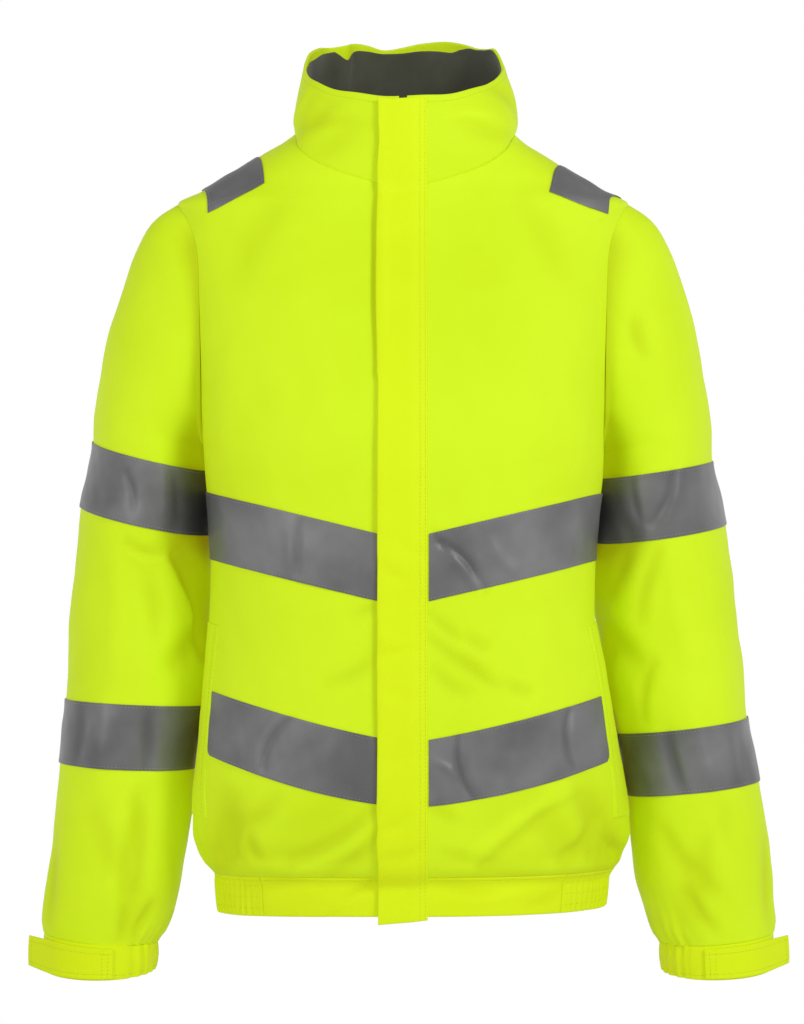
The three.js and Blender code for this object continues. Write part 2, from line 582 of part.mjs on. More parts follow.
// The sleeve head: a curve from the armhole to the first full section.
function headPoint(side, table, angle, t) {
  const place = armholePlace(angle);
  const seam = torsoSide(side, place.z, place.forward);
  const middle = new THREE.Vector3(seam.x, 0, (PIT_Z + TIP_Z) / 2);
  moveTowards(seam, middle, SEAM);
  seam.x += side * SEAM;
  const target = sleevePoint(side, table[0], angle);
  const below = sleevePoint(side, table[1], angle);
  const span = seam.distanceTo(target);
  const leave = headDirection(side, angle).multiplyScalar(HEAD_LEAVE * span);
  const arrive = below.sub(target).setLength(HEAD_ARRIVE * span);
  return new THREE.Vector3()
    .addScaledVector(seam, (1 + 2 * t) * (1 - t) ** 2)
    .addScaledVector(leave, t * (1 - t) ** 2)
    .addScaledVector(target, t * t * (3 - 2 * t))
    .addScaledVector(arrive, t * t * (t - 1));
}

const sleeveRow = (side, name) =>
  HEAD_RINGS.length + (side === RIGHT ? SLEEVES.right : SLEEVES.left).findIndex((row) => row.name === name);

// A point of the neckline at an angle from the centre front, 0 to 360.
function necklinePoint(angle) {
  const line = LINES[lineIndex("neckline")];
  const side = angle <= 180 ? LEFT : RIGHT;
  const turn = angle <= 180 ? angle : 360 - angle;
  const place = turn <= 90 ? linePlace(line, side, "front", turn) : linePlace(line, side, "back", 180 - turn);
  return place.point;
}

// A point of the collar: from the neckline (0) to the top edge (1).
function collarPoint(angle, share) {
  const [sine, cosine] = [Math.sin(angle * RADIANS), Math.cos(angle * RADIANS)];
  const top = COLLAR_TOP;
  const depth = cosine > 0 ? top.front : top.back;
  const edge = new THREE.Vector3(
    top.centre + top.half * powerOf(sine, 2 / top.power),
    -depth * powerOf(cosine, 2 / top.power),
    mix(top.frontZ, top.backZ, (1 - cosine) / 2),
  );
  const foot = necklinePoint(angle);
  foot.z += SEAM;
  const swellAhead = cosine > 0 ? COLLAR_SWELL.front : COLLAR_SWELL.back;
  const swellAside = sine < 0 ? COLLAR_SWELL.right : COLLAR_SWELL.left;
  const swell = mix(swellAhead, swellAside, Math.abs(sine)) * Math.sin(Math.PI * share ** 0.8);
  const away = new THREE.Vector3(sine, -cosine, 0);
  return foot.lerp(edge, share).addScaledVector(away, swell);
}

// The angle near the centre front at which the collar is this far to the left.
function collarAngle(x, share) {
  let [low, high] = [-60, 60];
  for (let step = 0; step < 40; step++) {
    const middle = (low + high) / 2;
    if (collarPoint((middle + 360) % 360, share).x < x) low = middle;
    else high = middle;
  }
  return low;
}

function collarGrid() {
  const points = COLLAR_RINGS.map((share) => {
    const start = collarAngle(PANEL_START, share);
    const end = 360 + collarAngle(-PANEL_START, share);
    return Array.from({ length: COLLAR_STEPS + 1 }, (_, k) =>
      collarPoint(mix(start, end, k / COLLAR_STEPS), share));
  });
  return withNormals(points, false, 1);
}

// The collar lining, drawn down from the shell's top edge, most at the back.
function liningGrid(shell) {
  const top = shell.points.length - 1;
  const points = shell.points.map((row) => row.map((point) => point.clone()));
  points[top].forEach((point, k) => {
    const behind = (1 - Math.cos((2 * Math.PI * k) / COLLAR_STEPS)) / 2;
    moveTowards(point, points[top - 1][k], mix(LINING_DROP.front, LINING_DROP.back, behind));
  });
  return { points, normals: shell.normals, closed: false };
}

// Height of the hem seam at an angle from the centre front, 0 to 360.
function hemZ(angle) {
  const side = angle <= 180 ? LEFT : RIGHT;
  const turn = Math.abs(angle <= 180 ? angle : 360 - angle);
  const face = turn <= 90 ? "front" : "back";
  return lineHeight(LINES[0], side, face, turn <= 90 ? turn : 180 - turn);
}

// Rows of a hem piece between two angles, gathered if it is elastic.
function hemGrid(from, to, steps, gathers) {
  const points = [0, 1].map((level) => Array.from({ length: steps + 1 }, (_, k) => {
    const angle = mix(from, to, k / steps);
    const z = hemZ(angle) - SEAM - HEM_HEIGHT * (1 - level);
    const point = torsoPoint(angle, z);
    const away = new THREE.Vector3(point.x, point.y, 0).normalize();
    const end = k === 0 || k === steps;
    const rib = gathers && !end ? GATHER_DEPTH * (k % 2 ? 1 : -1) : 0;
    return point.addScaledVector(away, rib);
  }));
  return withNormals(points, false, 1);
}

function hemAngle(x) {
  return angleAtX(HEM_FRONT - HEM_HEIGHT / 2, x);
}

// A ring of the cuff, at a share of its height from its foot to the sleeve, let out.
function cuffRing(side, share, ease) {
  const table = side === RIGHT ? SLEEVES.right : SLEEVES.left;
  const [seam, foot] = table.slice(-2);
  const ring = {};
  for (const key of ["z", "reach", "half", "depth", "set", "tilt", "dip"])
    ring[key] = mix(foot[key], seam[key], share);
  ring.z -= SEAM * share;
  ring.half += ease;
  ring.depth += ease;
  return ring;
}

// Normals of rings that lie in slanting planes, kept in those planes.
function ringNormals(side, rings, points, angles, closed) {
  const normals = points.map((row, i) => row.map((point, j) => {
    const wider = { ...rings[i], half: rings[i].half + 1, depth: rings[i].depth + 1 };
    const inner = sleevePoint(side, rings[i], angles[j]);
    return sleevePoint(side, wider, angles[j]).sub(inner).normalize();
  }));
  return { points, normals, closed };
}

// The cuff: a band below the sleeve, plain outside and in front, gathered elsewhere.
function cuffGrid(side) {
  const ribs = 2 * CUFF_GATHERS;
  const plain = spread(CUFF_PLAIN.from, CUFF_PLAIN.to, CUFF_PLAIN_STEPS);
  const gathered = spread(CUFF_PLAIN.to, 360 + CUFF_PLAIN.from, ribs);
  const angles = [...plain, ...gathered];
  const rings = [0, 0.5, 1].map((share) =>
    cuffRing(side, share, CUFF_FULLNESS * Math.sin(Math.PI * share)));
  const points = rings.map((ring) => angles.map((angle, j) => {
    const k = j - CUFF_PLAIN_STEPS;
    const rib = k > 0 ? CUFF_GATHER_DEPTH * (k % 2 ? 0 : -1) : 0;
    return sleevePoint(side, { ...ring, half: ring.half + rib, depth: ring.depth + rib }, angle);
  }));
  return ringNormals(side, rings, points, angles, true);
}

// The cuff tab: it follows the cuff from its front, then runs straight on.
function tabGrid(side) {
  const angles = [...TAB_WRAP];
  const rings = [TAB_FOOT, TAB_TOP].map((share) => cuffRing(side, share, CUFF_FULLNESS + LAID));
  const points = rings.map((ring, i) => {
    const row = angles.map((angle) => sleevePoint(side, ring, angle));
    const [before, end] = row.slice(-2);
    const way = end.clone().sub(before).normalize();
    for (const share of TAB_FREE_SHARES) {
      const drop = i === 0 ? TAB_TAPER * share : -TAB_TAPER * share;
      const point = end.clone().addScaledVector(way, TAB_FREE * share);
      point.z += drop;
      row.push(point);
    }
    return row;
  });
  const ends = TAB_FREE_SHARES.map(() => angles[angles.length - 1]);
  return ringNormals(side, rings, points, [...angles, ...ends], false);
}

// Heights and shares along the centre front, for the flap and the zip.
function frontStations(footZ) {
  const torso = [footZ, ...LINES.map((line) => line.front)].map((z) => ({ z }));
  const collar = COLLAR_RINGS.slice(1).map((share) => ({ share }));
  return [...torso, ...collar];
}

// A strip along the centre front, over torso and collar.
function frontStrip(footZ, xs, topDrop) {
  const stations = frontStations(footZ);
  const points = stations.map((station) => xs.map((x) => {
    if (station.share !== undefined)
      return collarPoint((collarAngle(x, station.share) + 360) % 360, station.share);
    return torsoPoint(angleAtX(station.z, x), station.z);
  }));
  const top = points.length - 1;
  points[top].forEach((point, j) => moveTowards(point, points[top - 1][j], topDrop));
  return withNormals(points, false, 1);
}

const hiVis = new THREE.MeshStandardMaterial({ color: 0xd2f52a, roughness: 0.62, metalness: 0 });
const hiVisTrim = new THREE.MeshStandardMaterial({ color: 0xdcf722, roughness: 0.6, metalness: 0 });
const tapeGrey = new THREE.MeshStandardMaterial({ color: 0x74757a, roughness: 0.42, metalness: 0.1 });
const liningGrey = new THREE.MeshStandardMaterial({ color: 0x4a4b40, roughness: 0.85, metalness: 0 });
const zipYellow = new THREE.MeshStandardMaterial({ color: 0xc4e020, roughness: 0.45, metalness: 0 });

const jacket = new THREE.Group();

function add(name, geometry, material) {
  const mesh = new THREE.Mesh(geometry, material);
  mesh.name = name;
  jacket.add(mesh);
}

const sideName = (side) => (side === RIGHT ? "right" : "left");
const overlay = (grid, thickness) => wallGeometry(grid, thickness, LAID + thickness);

// Fronts, with their tape, pocket welts and the tape over the shoulders
for (const side of [RIGHT, LEFT]) {
  const grid = frontGrid(side);
  const name = sideName(side);
  const edge = grid.points[0].length - 1;
  const low = cutGrid(grid, lineIndex("low_tape_foot"), lineIndex("low_tape_top"), 1, WELT_COLUMN);
  const up = cutGrid(grid, lineIndex("up_tape_foot"), lineIndex("up_tape_top"), 1, edge);
  const welt = cutGrid(grid, lineIndex("welt_foot"), lineIndex("welt_top"), WELT_COLUMN, WELT_COLUMN + 2);
  welt.points = welt.points.map((row) => {
    const kept = row.map((point) => point.clone());
    moveTowards(kept[0], kept[1], SEAM + LAID);
    return kept;
  });
  add("front_" + name, wallGeometry(grid, SHELL), hiVis);
  add("tape_front_low_" + name, overlay(low, TAPE), tapeGrey);
  add("tape_front_up_" + name, overlay(up, TAPE), tapeGrey);
  const shoulderTape = wallGeometry(shoulderTapeGrid(side), TAPE, SHOULDER_TAPE_GAP + TAPE);
  add("tape_shoulder_" + name, shoulderTape, tapeGrey);
  add("pocket_welt_" + name, overlay(welt, WELT), hiVis);
}

// Back, with its tape
const back = backGrid();
const backEdge = back.points[0].length - 1;
add("back", wallGeometry(back, SHELL), hiVis);
for (const level of ["low", "up"]) {
  const rows = [lineIndex(level + "_tape_foot"), lineIndex(level + "_tape_top")];
  add("tape_back_" + level, overlay(cutGrid(back, ...rows, 0, backEdge), TAPE), tapeGrey);
}

// Sleeves, with their tape, cuffs and cuff tabs
for (const side of [RIGHT, LEFT]) {
  const name = sideName(side);
  const grid = sleeveGrid(side);
  add("sleeve_" + name, wallGeometry(grid, SHELL), hiVis);
  for (const level of ["up", "low"]) {
    const rows = [sleeveRow(side, level + "_tape_top"), sleeveRow(side, level + "_tape_foot")];
    add("tape_sleeve_" + level + "_" + name, overlay(cutGrid(grid, ...rows), TAPE), tapeGrey);
  }
  add("cuff_" + name, wallGeometry(cuffGrid(side), BAND), hiVisTrim);
  add("cuff_tab_" + name, wallGeometry(tabGrid(side), FLAP, FLAP), hiVisTrim);
}

// Collar and its lining
const collar = collarGrid();
add("collar", wallGeometry(collar, SHELL), hiVis);
add("collar_lining", wallGeometry(liningGrid(collar), KNIT, -SHELL - LAID), liningGrey);

// Hem band: two plain fronts and an elastic part round the sides and back
const hemLeft = hemGrid(hemAngle(PANEL_START), HEM_GATHER_ANGLE - SEAM, HEM_FRONT_STEPS, false);
const hemRight = hemGrid(360 - HEM_GATHER_ANGLE + SEAM, 360 + hemAngle(-PANEL_START), HEM_FRONT_STEPS, false);
const hemElastic = hemGrid(HEM_GATHER_ANGLE, 360 - HEM_GATHER_ANGLE, 2 * HEM_GATHERS, true);
add("hem_front_left", wallGeometry(hemLeft, BAND), hiVisTrim);
add("hem_front_right", wallGeometry(hemRight, BAND), hiVisTrim);
add("hem_elastic", wallGeometry(hemElastic, BAND), hiVisTrim);

// Front closure: the zip between the fronts, and the flap over it
const zipXs = [-ZIP_WIDTH / 2, ZIP_WIDTH / 2];
const zipStrip = frontStrip(HEM_FRONT - HEM_HEIGHT + 2, zipXs, 3);
const flapXs = [-FLAP_WIDTH / 2, -FLAP_WIDTH / 6, FLAP_WIDTH / 6, FLAP_WIDTH / 2];
const flapStrip = frontStrip(HEM_FRONT - HEM_HEIGHT - 1, flapXs, 2);
add("zip", wallGeometry(zipStrip, FLAP), zipYellow);
add("storm_flap", wallGeometry(flapStrip, FLAP, FLAP_GAP + FLAP), hiVisTrim);

export default jacket;
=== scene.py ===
import math

import bpy
import numpy as np
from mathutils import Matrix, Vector


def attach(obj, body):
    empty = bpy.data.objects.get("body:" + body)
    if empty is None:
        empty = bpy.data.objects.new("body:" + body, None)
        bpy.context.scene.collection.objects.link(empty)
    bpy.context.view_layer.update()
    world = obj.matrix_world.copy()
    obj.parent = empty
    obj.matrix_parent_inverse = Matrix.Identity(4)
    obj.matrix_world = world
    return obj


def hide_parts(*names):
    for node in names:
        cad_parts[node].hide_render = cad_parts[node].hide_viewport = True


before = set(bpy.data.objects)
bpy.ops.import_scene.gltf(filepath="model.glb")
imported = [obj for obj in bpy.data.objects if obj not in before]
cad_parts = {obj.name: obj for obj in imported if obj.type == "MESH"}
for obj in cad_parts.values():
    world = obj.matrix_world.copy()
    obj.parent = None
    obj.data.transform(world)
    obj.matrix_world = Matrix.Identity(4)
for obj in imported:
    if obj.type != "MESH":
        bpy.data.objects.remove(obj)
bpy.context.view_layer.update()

MM = 0.001
RIGHT, LEFT = -1, 1
SIDE_NAMES = {RIGHT: "right", LEFT: "left"}

# Grids: spacing on the large pieces, and columns across them
PITCH = 3.2
TAPE_PITCH = 1.8
FRONT_COLUMNS = 86
BACK_COLUMNS = 80
TAPE_COLUMNS = 112
COLLAR_COLUMNS = 241

# Thickness of the cloth and trim, the gap at a seam, and the room under what is laid on
SHELL = 2.4
KNIT = 1.4
TAPE = 0.7
BAND = 3.0
FLAP = 2.0
WELT = 1.6
SEAM = 0.15
LAID = 0.45
SLEEVE_CLEAR = 3.5

# How an edge is rounded: how far in from it, and the share of its sinking there
EDGE_PROFILE = [(0.0, 1.0), (0.3, 0.3), (1.0, 0.0)]
FREE_EDGE, SEWN_EDGE = 0.32, 0.12  # share of the thickness by which an edge sinks
TUCK = 3.0  # how far a seam allowance runs on under the next piece
TUCK_SINK = 0.44
TUCKED = 9.0  # marks the points of a tuck until their sinking is known

# Thread, its stitches, and the rows of a strip of tape that are sewn
STITCH = 2.3
STITCH_GAP = 0.7
THREAD_WIDTH = 0.42
THREAD_HEIGHT = 0.22
THREAD_RAISED = 0.05
TAPE_SEWN = (3, -4)

# Front closure
FLAP_WIDTH = 38
FLAP_GAP = 1.85
FLAP_SEWN_DROP = 3.1
ZIP_WIDTH = 6
TOOTH_PITCH = 2.2
TOOTH_SIZES = (1.5, 3.6, 1.4)
TOOTH_SHIFT = 0.9
PANEL_START = ZIP_WIDTH / 2 + SEAM
TRIM_START = FLAP_WIDTH / 2 + 0.8

# Armhole, an oval seen from the side
PIT_Z = -225
TIP_Z = -33
ARMHOLE_FRONT = 54
ARMHOLE_BACK = 62
ARMHOLE_POWER = 2.3
ARMHOLE_STEPS = 40
ARMHOLE_MIDDLE = (PIT_Z + TIP_Z) / 2
ARMHOLE_HALF = (TIP_Z - PIT_Z) / 2

# Hem band
HEM_HEIGHT = 30.5
HEM_FRONT = -559
HEM_SIDE = -561
HEM_GATHER_ANGLE = 46
HEM_GATHERS = 84
HEM_PLEAT = 2.6
PLEAT_REACH = 15  # how far pleats run on from the hem and the cuffs

# Folds in the hem band, as on the torso below
HEM_FOLDS = [
    (-18, -560, -56, -588, 4, -0.9, 2), (-24, -574, -70, -590, 4, 0.7, 2),
    (-80, -563, -112, -572, 5, -0.6, 1), (24, -564, 70, -572, 5, -0.7, 1),
    (60, -578, 110, -566, 5, 0.6, 2), (96, -582, 124, -570, 5, -0.7, 2),
]

# Cuffs
CUFF_GATHERS = 18
CUFF_FULLNESS = 0.8
CUFF_PLEAT = 1.9
CUFF_PLAIN = (60, 190)  # angles round the sleeve
TAB_WRAP = (74, 142)
TAB_SHARES = (0.06, 0.92)  # of the cuff's height
TAB_FREE = 29
TAB_TAPER = 1.5

# Torso sections, from the hem up: height, shift to the wearer's left, half-width, how
# far the widest line lies in front of the side seam, depths to the front and back,
# and the powers round the corners.
TORSO_KEYS = ("centre", "half", "widest", "front", "back", "front_power", "back_power")
TORSO = [
    (-600, 7, 153.5, 15, 112, 120, 2.3, 2.0),
    (-567, 7, 155.5, 15, 114, 122, 2.3, 2.0),
    (-552, 7, 167, 18, 124, 132, 2.3, 2.0),
    (-530, 7, 174, 20, 131, 138, 2.3, 2.0),
    (-500, 6, 172, 22, 134, 138, 2.3, 2.0),
    (-450, 4, 165, 25, 132, 136, 2.3, 1.9),
    (-400, 2, 158.5, 28, 130, 134, 2.3, 1.9),
    (-350, 0, 152, 30, 128, 134, 2.3, 1.9),
    (-316, 0, 151.5, 32, 128, 136, 2.3, 1.9),
    (-250, 0, 156, 33, 128, 140, 2.3, 1.9),
    (-180, 0, 161, 28, 121, 142, 2.3, 2.0),
    (-110, 0, 170, 18, 105, 136, 2.3, 2.1),
    (-60, 0, 178, 6, 88, 122, 2.2, 2.1),
    (-33, 0, 180, 0, 78, 112, 2.2, 2.1),
    (-20, 0, 159.5, 0, 74, 107, 2.2, 2.1),
    (-10, 0, 144, 0, 73, 103, 2.2, 2.1),
    (0, 0, 126.5, 0, 72, 99, 2.2, 2.1),
    (9, 0, 110.5, 0, 72, 95, 2.2, 2.1),
    (18, 1, 95.5, 0, 72, 91, 2.2, 2.1),
    (26, 2, 87, 0, 72, 88, 2.2, 2.1),
    (45, 2, 84, 0, 72, 86, 2.2, 2.1),
]

# Grid lines across the panels, from the hem seam up: heights at the centre front, the
# side and the centre back, the bend of the slope between them, and the skew, which
# raises the side on the wearer's right and lowers the left.
LOWER_LINES = [
    ("hem_seam", HEM_FRONT, HEM_SIDE, HEM_SIDE, 2, -2.5),
    ("blouse_low", -550, -550, -550, 1.5, -1.5),
    ("blouse", -539, -536, -536, 0.87, 0),
    ("welt_foot", -524, -516, -516, 0.87, 0),
    ("low_tape_foot", -503.5, -465, -465, 1.35, 2.5),
    ("low_tape_middle", -479, -441, -440, 1.2, 2.2),
    ("low_tape_top", -454, -416.5, -415, 1.05, 2),
    ("welt_top", -404, -364, -364, 0.87, 0),
    ("up_tape_foot", -350.5, -315, -313, 0.87, 0.5),
    ("up_tape_middle", -325, -288.5, -288, 0.87, 0.5),
    ("up_tape_top", -299, -262, -262, 0.87, 0.5),
]
ARMHOLE_FOOT_LINE = (-262, -225, 0.87)
ARMHOLE_HEAD_LINE = (-74, -62, 2.4)
SHOULDER_LINES = [
    ("shoulder_1", -62, -25, -46, 2.5, 3.2),
    ("shoulder_2", -49, -12, -28, 2.5, 3.2),
    ("shoulder_3", -38, 1.5, -8, 2.2, 3.2),
    ("shoulder_4", -31, 13, 14, 1.6, 0),
    ("neckline", -24, 24, 33, 1.15, 0),
]
WELT_SHARE = 0.655  # of the way round a front, where the low tape ends at the welt
WELT_END = 0.885
FRONT_ROUND = 260  # length round a front, about
TAPE_WIDTH = 50
TAPE_CORNER = 9.0

# Tape over each shoulder, by its corners seen from above: x at the shoulder seam, x at
# the ends, and how far the ends lie from the seam, for the outer and the inner edge.
SHOULDER_TAPE = {
    RIGHT: ((160.3, 153.4, 46.7), (117.6, 108.8, 56.7)),
    LEFT: ((174.6, 160.8, 41), (130.5, 114.3, 60)),
}

# The shoulder's rise at the top of the sleeve and its sag under the tape, each with its
# middle and reach across the shoulder
SHOULDER_SETS = ((3.4, 192, 13), (-2.6, 142, 28))

# Folds on the torso: two ends, width, depth (troughs are negative) and bow, the
# sideways bend of the line between its ends.
FRONT_FOLDS = [
    (-22, -20, -21, -170, 4, -1.4, 0), (-22, -170, -21, -540, 3, -0.7, 0),
    (142, -492, 168, -556, 13, -5, 0), (-138, -505, -143, -558, 13, -5, 0),
    (96, -500, 140, -557, 16, -4, 0), (-40, -500, -110, -556, 20, -3.5, 0),
    (45, -470, 88, -552, 20, -3, 0), (60, -120, 120, -230, 30, 2.5, 0),
    (21, -357, 62, -381, 4.5, -1.5, 3), (20, -364, 64, -392, 4, 1.1, 3),
    (21, -373, 95, -416, 5, -1.6, 6), (44, -372, 80, -412, 4, 1.3, 3), (24, -399, 48, -416, 5, -1.2, 2),
    (-20, -388, -56, -408, 6, -1.2, -3), (-20, -350, -36, -356, 5, -1.0, 0),
    (-22, -506, -87, -548, 7, -1.8, -5), (-24, -516, -80, -556, 6, 1.3, -4),
    (-22, -528, -58, -557, 6, -1.6, -3), (-120, -531, -115, -545, 5, -2.0, 1),
    (-138, -522, -134, -546, 5, -1.8, 2), (-100, -500, -128, -520, 8, -1.4, -3),
    (141, -488, 46, -555, 7, 1.3, 5), (136, -496, 56, -557, 6, -1.4, 5),
    (153, -517, 126, -548, 6, -2.0, -4), (164, -532, 170, -547, 5, -2.4, 1),
    (148, -530, 152, -552, 5, -2.0, 1), (22, -505, 40, -514, 6, -1.2, 0),
    (34, -540, 104, -557, 6, -1.2, 3), (-134, -160, -146, -250, 14, 1.6, 0),
    (128, -150, 146, -246, 14, 1.6, 0), (-96, -34, -128, -92, 12, -1.4, 6),
    (92, -34, 120, -84, 12, -1.2, -5),
]
BACK_FOLDS = [
    (120, -480, 128, -558, 14, -5, 0), (-110, -490, -124, -558, 15, -5, 0),
    (62, -500, 70, -558, 14, -5, 0), (-48, -480, -56, -558, 16, -5, 0), (8, -510, 5, -560, 13, -4, 0),
    (130, -150, 60, -300, 26, -5, 0), (-128, -160, -66, -290, 26, -5, 0),
    (0, -330, 10, -420, 30, -4, 0), (-30, -440, -84, -500, 12, -2.2, 6),
    (36, -430, 92, -486, 12, -2.2, -6), (-96, -300, -40, -360, 11, -2, -7),
    (104, -290, 38, -352, 11, -2, 7), (-20, -60, 30, -110, 22, -1.6, 8),
    (-138, -420, -112, -470, 8, -2.2, 3), (140, -410, 116, -462, 8, -2.2, -3),
    (20, -470, 34, -516, 8, -2, 2), (-88, -60, -120, -120, 13, -1.8, 5),
    (88, -60, 122, -118, 13, -1.8, -5),
]
FOLD_SCALE = 1.5
FOLD_FADE = 50  # from the side seam, where a fold reaches its full depth
SHARP_WIDTH = 9  # a fold no wider than this is a crease, and its painted shade is deeper
FULL_SHADE_DEPTH = 2.6  # depth at which the painted shade in a crease is at its deepest
# depth at which the painted shade in a tape's crease is at its deepest
TAPE_FULL_SHADE_DEPTH = 1.1
SEAM_FADE = 12  # from an armhole or the hem, where the cloth reaches its full unevenness

# Creases in the tape, which is stiffer than the cloth under it
TAPE_CREASES = [
    (24, -292, 35, -312, 3, -1.0, 1), (31, -300, 64, -339, 2.6, -1.3, -4),
    (27, -306, 57, -341, 3, 0.9, -4), (57, -314, 61, -335, 3.5, 0.9, 1),
    (66, -300, 84, -322, 4, 0.7, 2), (-79, -285, -81, -324, 3.5, -0.8, 1),
    (-84, -286, -86, -324, 5, 0.5, 1), (-50, -296, -47, -330, 6, 0.4, 0),
    (-86, -436, -108, -474, 3.5, -0.8, 5), (-93, -434, -114, -470, 5, 0.8, 5),
    (-134, -430, -126, -466, 4, 0.6, -2), (42, -450, 54, -497, 3, -1.1, 5),
    (50, -450, 61, -494, 4, 0.8, 5), (127, -432, 131, -475, 3, -1.0, 4),
    (134, -430, 138, -473, 4, 0.7, 4), (24, -469, 39, -478, 3, 0.9, -1),
    (92, -440, 86, -484, 6, 0.5, 2), (-40, -452, -34, -494, 6, 0.5, 2),
]
SLEEVE_TAPE_CREASES = {
    RIGHT: [(109, -246, 97, -274, 4, -1.0, 2), (80, -236, 74, -278, 6, 1.0, 2), (66, -250, 60, -284, 5, -0.8, 2),
            (112, -430, 112, -480, 12, 1.8, 2), (78, -432, 72, -478, 7, -1.2, 2), (134, -432, 138, -478, 9, -1.3, 2)],
    LEFT: [(86, -290, 114, -246, 5, 1.0, 3), (80, -286, 106, -244, 4, -0.9, 3), (66, -250, 72, -288, 5, -0.7, 2),
           (98, -450, 104, -498, 8, 1.4, 2), (72, -450, 78, -498, 6, -1.3, 2), (128, -450, 124, -498, 9, 1.2, 2)],
}

# Sleeve sections, from the end of the sleeve head down to the cuff's foot: height,
# reach of the middle from the centre line, half-width, half-depth, how far the middle
# lies behind the side seam, rise of the outer side in degrees, fall to the front.
SLEEVE_KEYS = ("reach", "half", "depth", "set", "tilt", "dip")
SLEEVES = {
    RIGHT: [
        (-214, 200.5, 49.5, 71, 25, 14, 0.05),
        (-232, 201.5, 49.5, 70, 25, 13.5, 0.07),
        (-258, 204, 51.5, 69, 25, 12.7, 0.075),
        (-284, 206.5, 54.5, 68, 24, 12, 0.08),
        (-332, 208, 57, 66, 22, 9, 0.02),
        (-382, 211, 58, 63, 18, 7, 0.03),
        (-429.7, 214, 56.5, 60, 15, 2.5, 0),
        (-455, 217.5, 55, 58, 13, 2.5, 0.01),
        (-480.3, 220.5, 54, 57, 12, 2.5, 0.015),
        (-521, 225, 54.4, 55, 9, 3, 0.04),
        (-562, 230, 54, 51, 6, 4, 0.06),
        (-592, 235, 52, 47, 4, 4.5, 0.07),
        (-607, 239, 49.5, 44, 2, 5, 0.08),
        (-616, 241.5, 45.5, 41, 0, 5, 0.08),
        (-642, 242, 45, 41, 0, 0, 0.14),
    ],
    LEFT: [
        (-222, 200, 49, 71, 25, 10, 0.03),
        (-243.5, 200.5, 48.5, 70, 25, 8.5, 0.04),
        (-269, 203, 50.5, 69, 25, 8, 0.055),
        (-294.4, 205.5, 53.5, 68, 24, 7.8, 0.065),
        (-342, 209, 57, 66, 22, 8, 0.02),
        (-394, 215.5, 57, 63, 18, 8, 0.03),
        (-448.2, 224.5, 53, 60, 15, 6.9, 0.01),
        (-473.3, 229, 52.6, 58, 13, 6.7, 0.01),
        (-498.5, 233, 52.8, 57, 12, 6.5, 0.01),
        (-531, 236.5, 54, 55, 9, 6, 0.04),
        (-566, 240.5, 54, 51, 6, 5, 0.06),
        (-592, 245, 51.5, 47, 4, 5, 0.07),
        (-607, 248, 49.5, 44, 2, 5, 0.08),
        (-616, 250.5, 45.5, 41, 0, 5, 0.08),
        (-642, 251.5, 45, 41, 0, 2, 0.13),
    ],
}
SLEEVE_TAPES = {
    RIGHT: {"up": (-232, -284), "low": (-429.7, -480.3)},
    LEFT: {"up": (-243.5, -294.4), "low": (-448.2, -498.5)},
}
HEAD_SHARES = (0, 0.1, 0.25, 0.46, 1)
HEAD_CLEARS = (SEAM, 1.3, 2.4, SLEEVE_CLEAR, SLEEVE_CLEAR)
HEAD_LEAVE = 0.7  # how far the curve of the head leans each way, of its length
HEAD_ARRIVE = 0.35
HEAD_FLUSH = 0.22  # share of the head over which it leaves the way of the torso's cloth
HOLLOW_DEPTH = 2.4  # of the hollow beside the body

# Folds on a sleeve, by angle round it from the inner side (0) past the front (90)
SLEEVE_FOLDS = {
    "both": [
        (60, -300, 10, -370, 13, -5, 0),
        (55, -395, 15, -360, 12, -4, 0),
        (300, -310, 350, -375, 14, -5, 0),
        (110, -520, 60, -600, 13, -3, 0),
        (250, -530, 285, -600, 14, -4, 0),
        (235, -330, 215, -420, 16, -4, 0),
        (268, -250, 230, -300, 10, -2.4, 5),
        (212, -460, 190, -500, 10, -1.6, 3),
        (160, -540, 150, -600, 9, -1.6, 2),
        (262, -400, 300, -440, 9, -2.4, 4),
        (330, -440, 300, -480, 9, -2.2, 4),
    ],
    RIGHT: [
        (60, -314, 26, -392, 5, -3.2, 5),
        (66, -316, 34, -388, 5, 1.4, 5),
        (72, -309, 102, -301, 4, -1.8, 3),
        (74, -317, 98, -310, 5, 1.2, 3),
        (84, -330, 74, -372, 7, -1.3, 2),
        (112, -320, 108, -400, 9, 1.2, 2),
        (78, -505, 66, -575, 6, -1.5, 4),
        (92, -520, 88, -590, 7, 1.3, 2),
        (36, -366, 20, -394, 6, -2.4, -3),
        (70, -500, 84, -560, 10, -1.4, 3),
        (48, -588, 56, -612, 5, -2.2, 0),
        (74, -592, 68, -614, 5, -1.8, 0),
    ],
    LEFT: [
        (92, -104, 98, -122, 6, -2.6, 2),
        (112, -128, 106, -152, 5, -1.8, 2),
        (84, -312, 66, -362, 6, -1.6, 3),
        (96, -320, 100, -390, 8, 1.2, 2),
        (72, -398, 52, -440, 5, -1.8, 3),
        (100, -520, 112, -590, 8, 1.2, 2),
        (40, -300, 20, -345, 8, -2.6, 4),
        (30, -372, 24, -430, 8, -2.6, 3),
        (56, -530, 96, -575, 8, -1.5, 5),
        (70, -580, 88, -606, 6, -1.8, 2),
    ],
}

# Collar: where its top edge lies, and how it swells between neckline and edge
COLLAR_TOP = {"centre": 0.5, "half": 80, "front": 76, "back": 83, "front_z": 47, "back_z": 109}
COLLAR_POWER = 2.2
COLLAR_HEIGHT = 70
COLLAR_SWELL = {"front": 1.5, "right": 2.5, "left": 6.5, "back": 9}
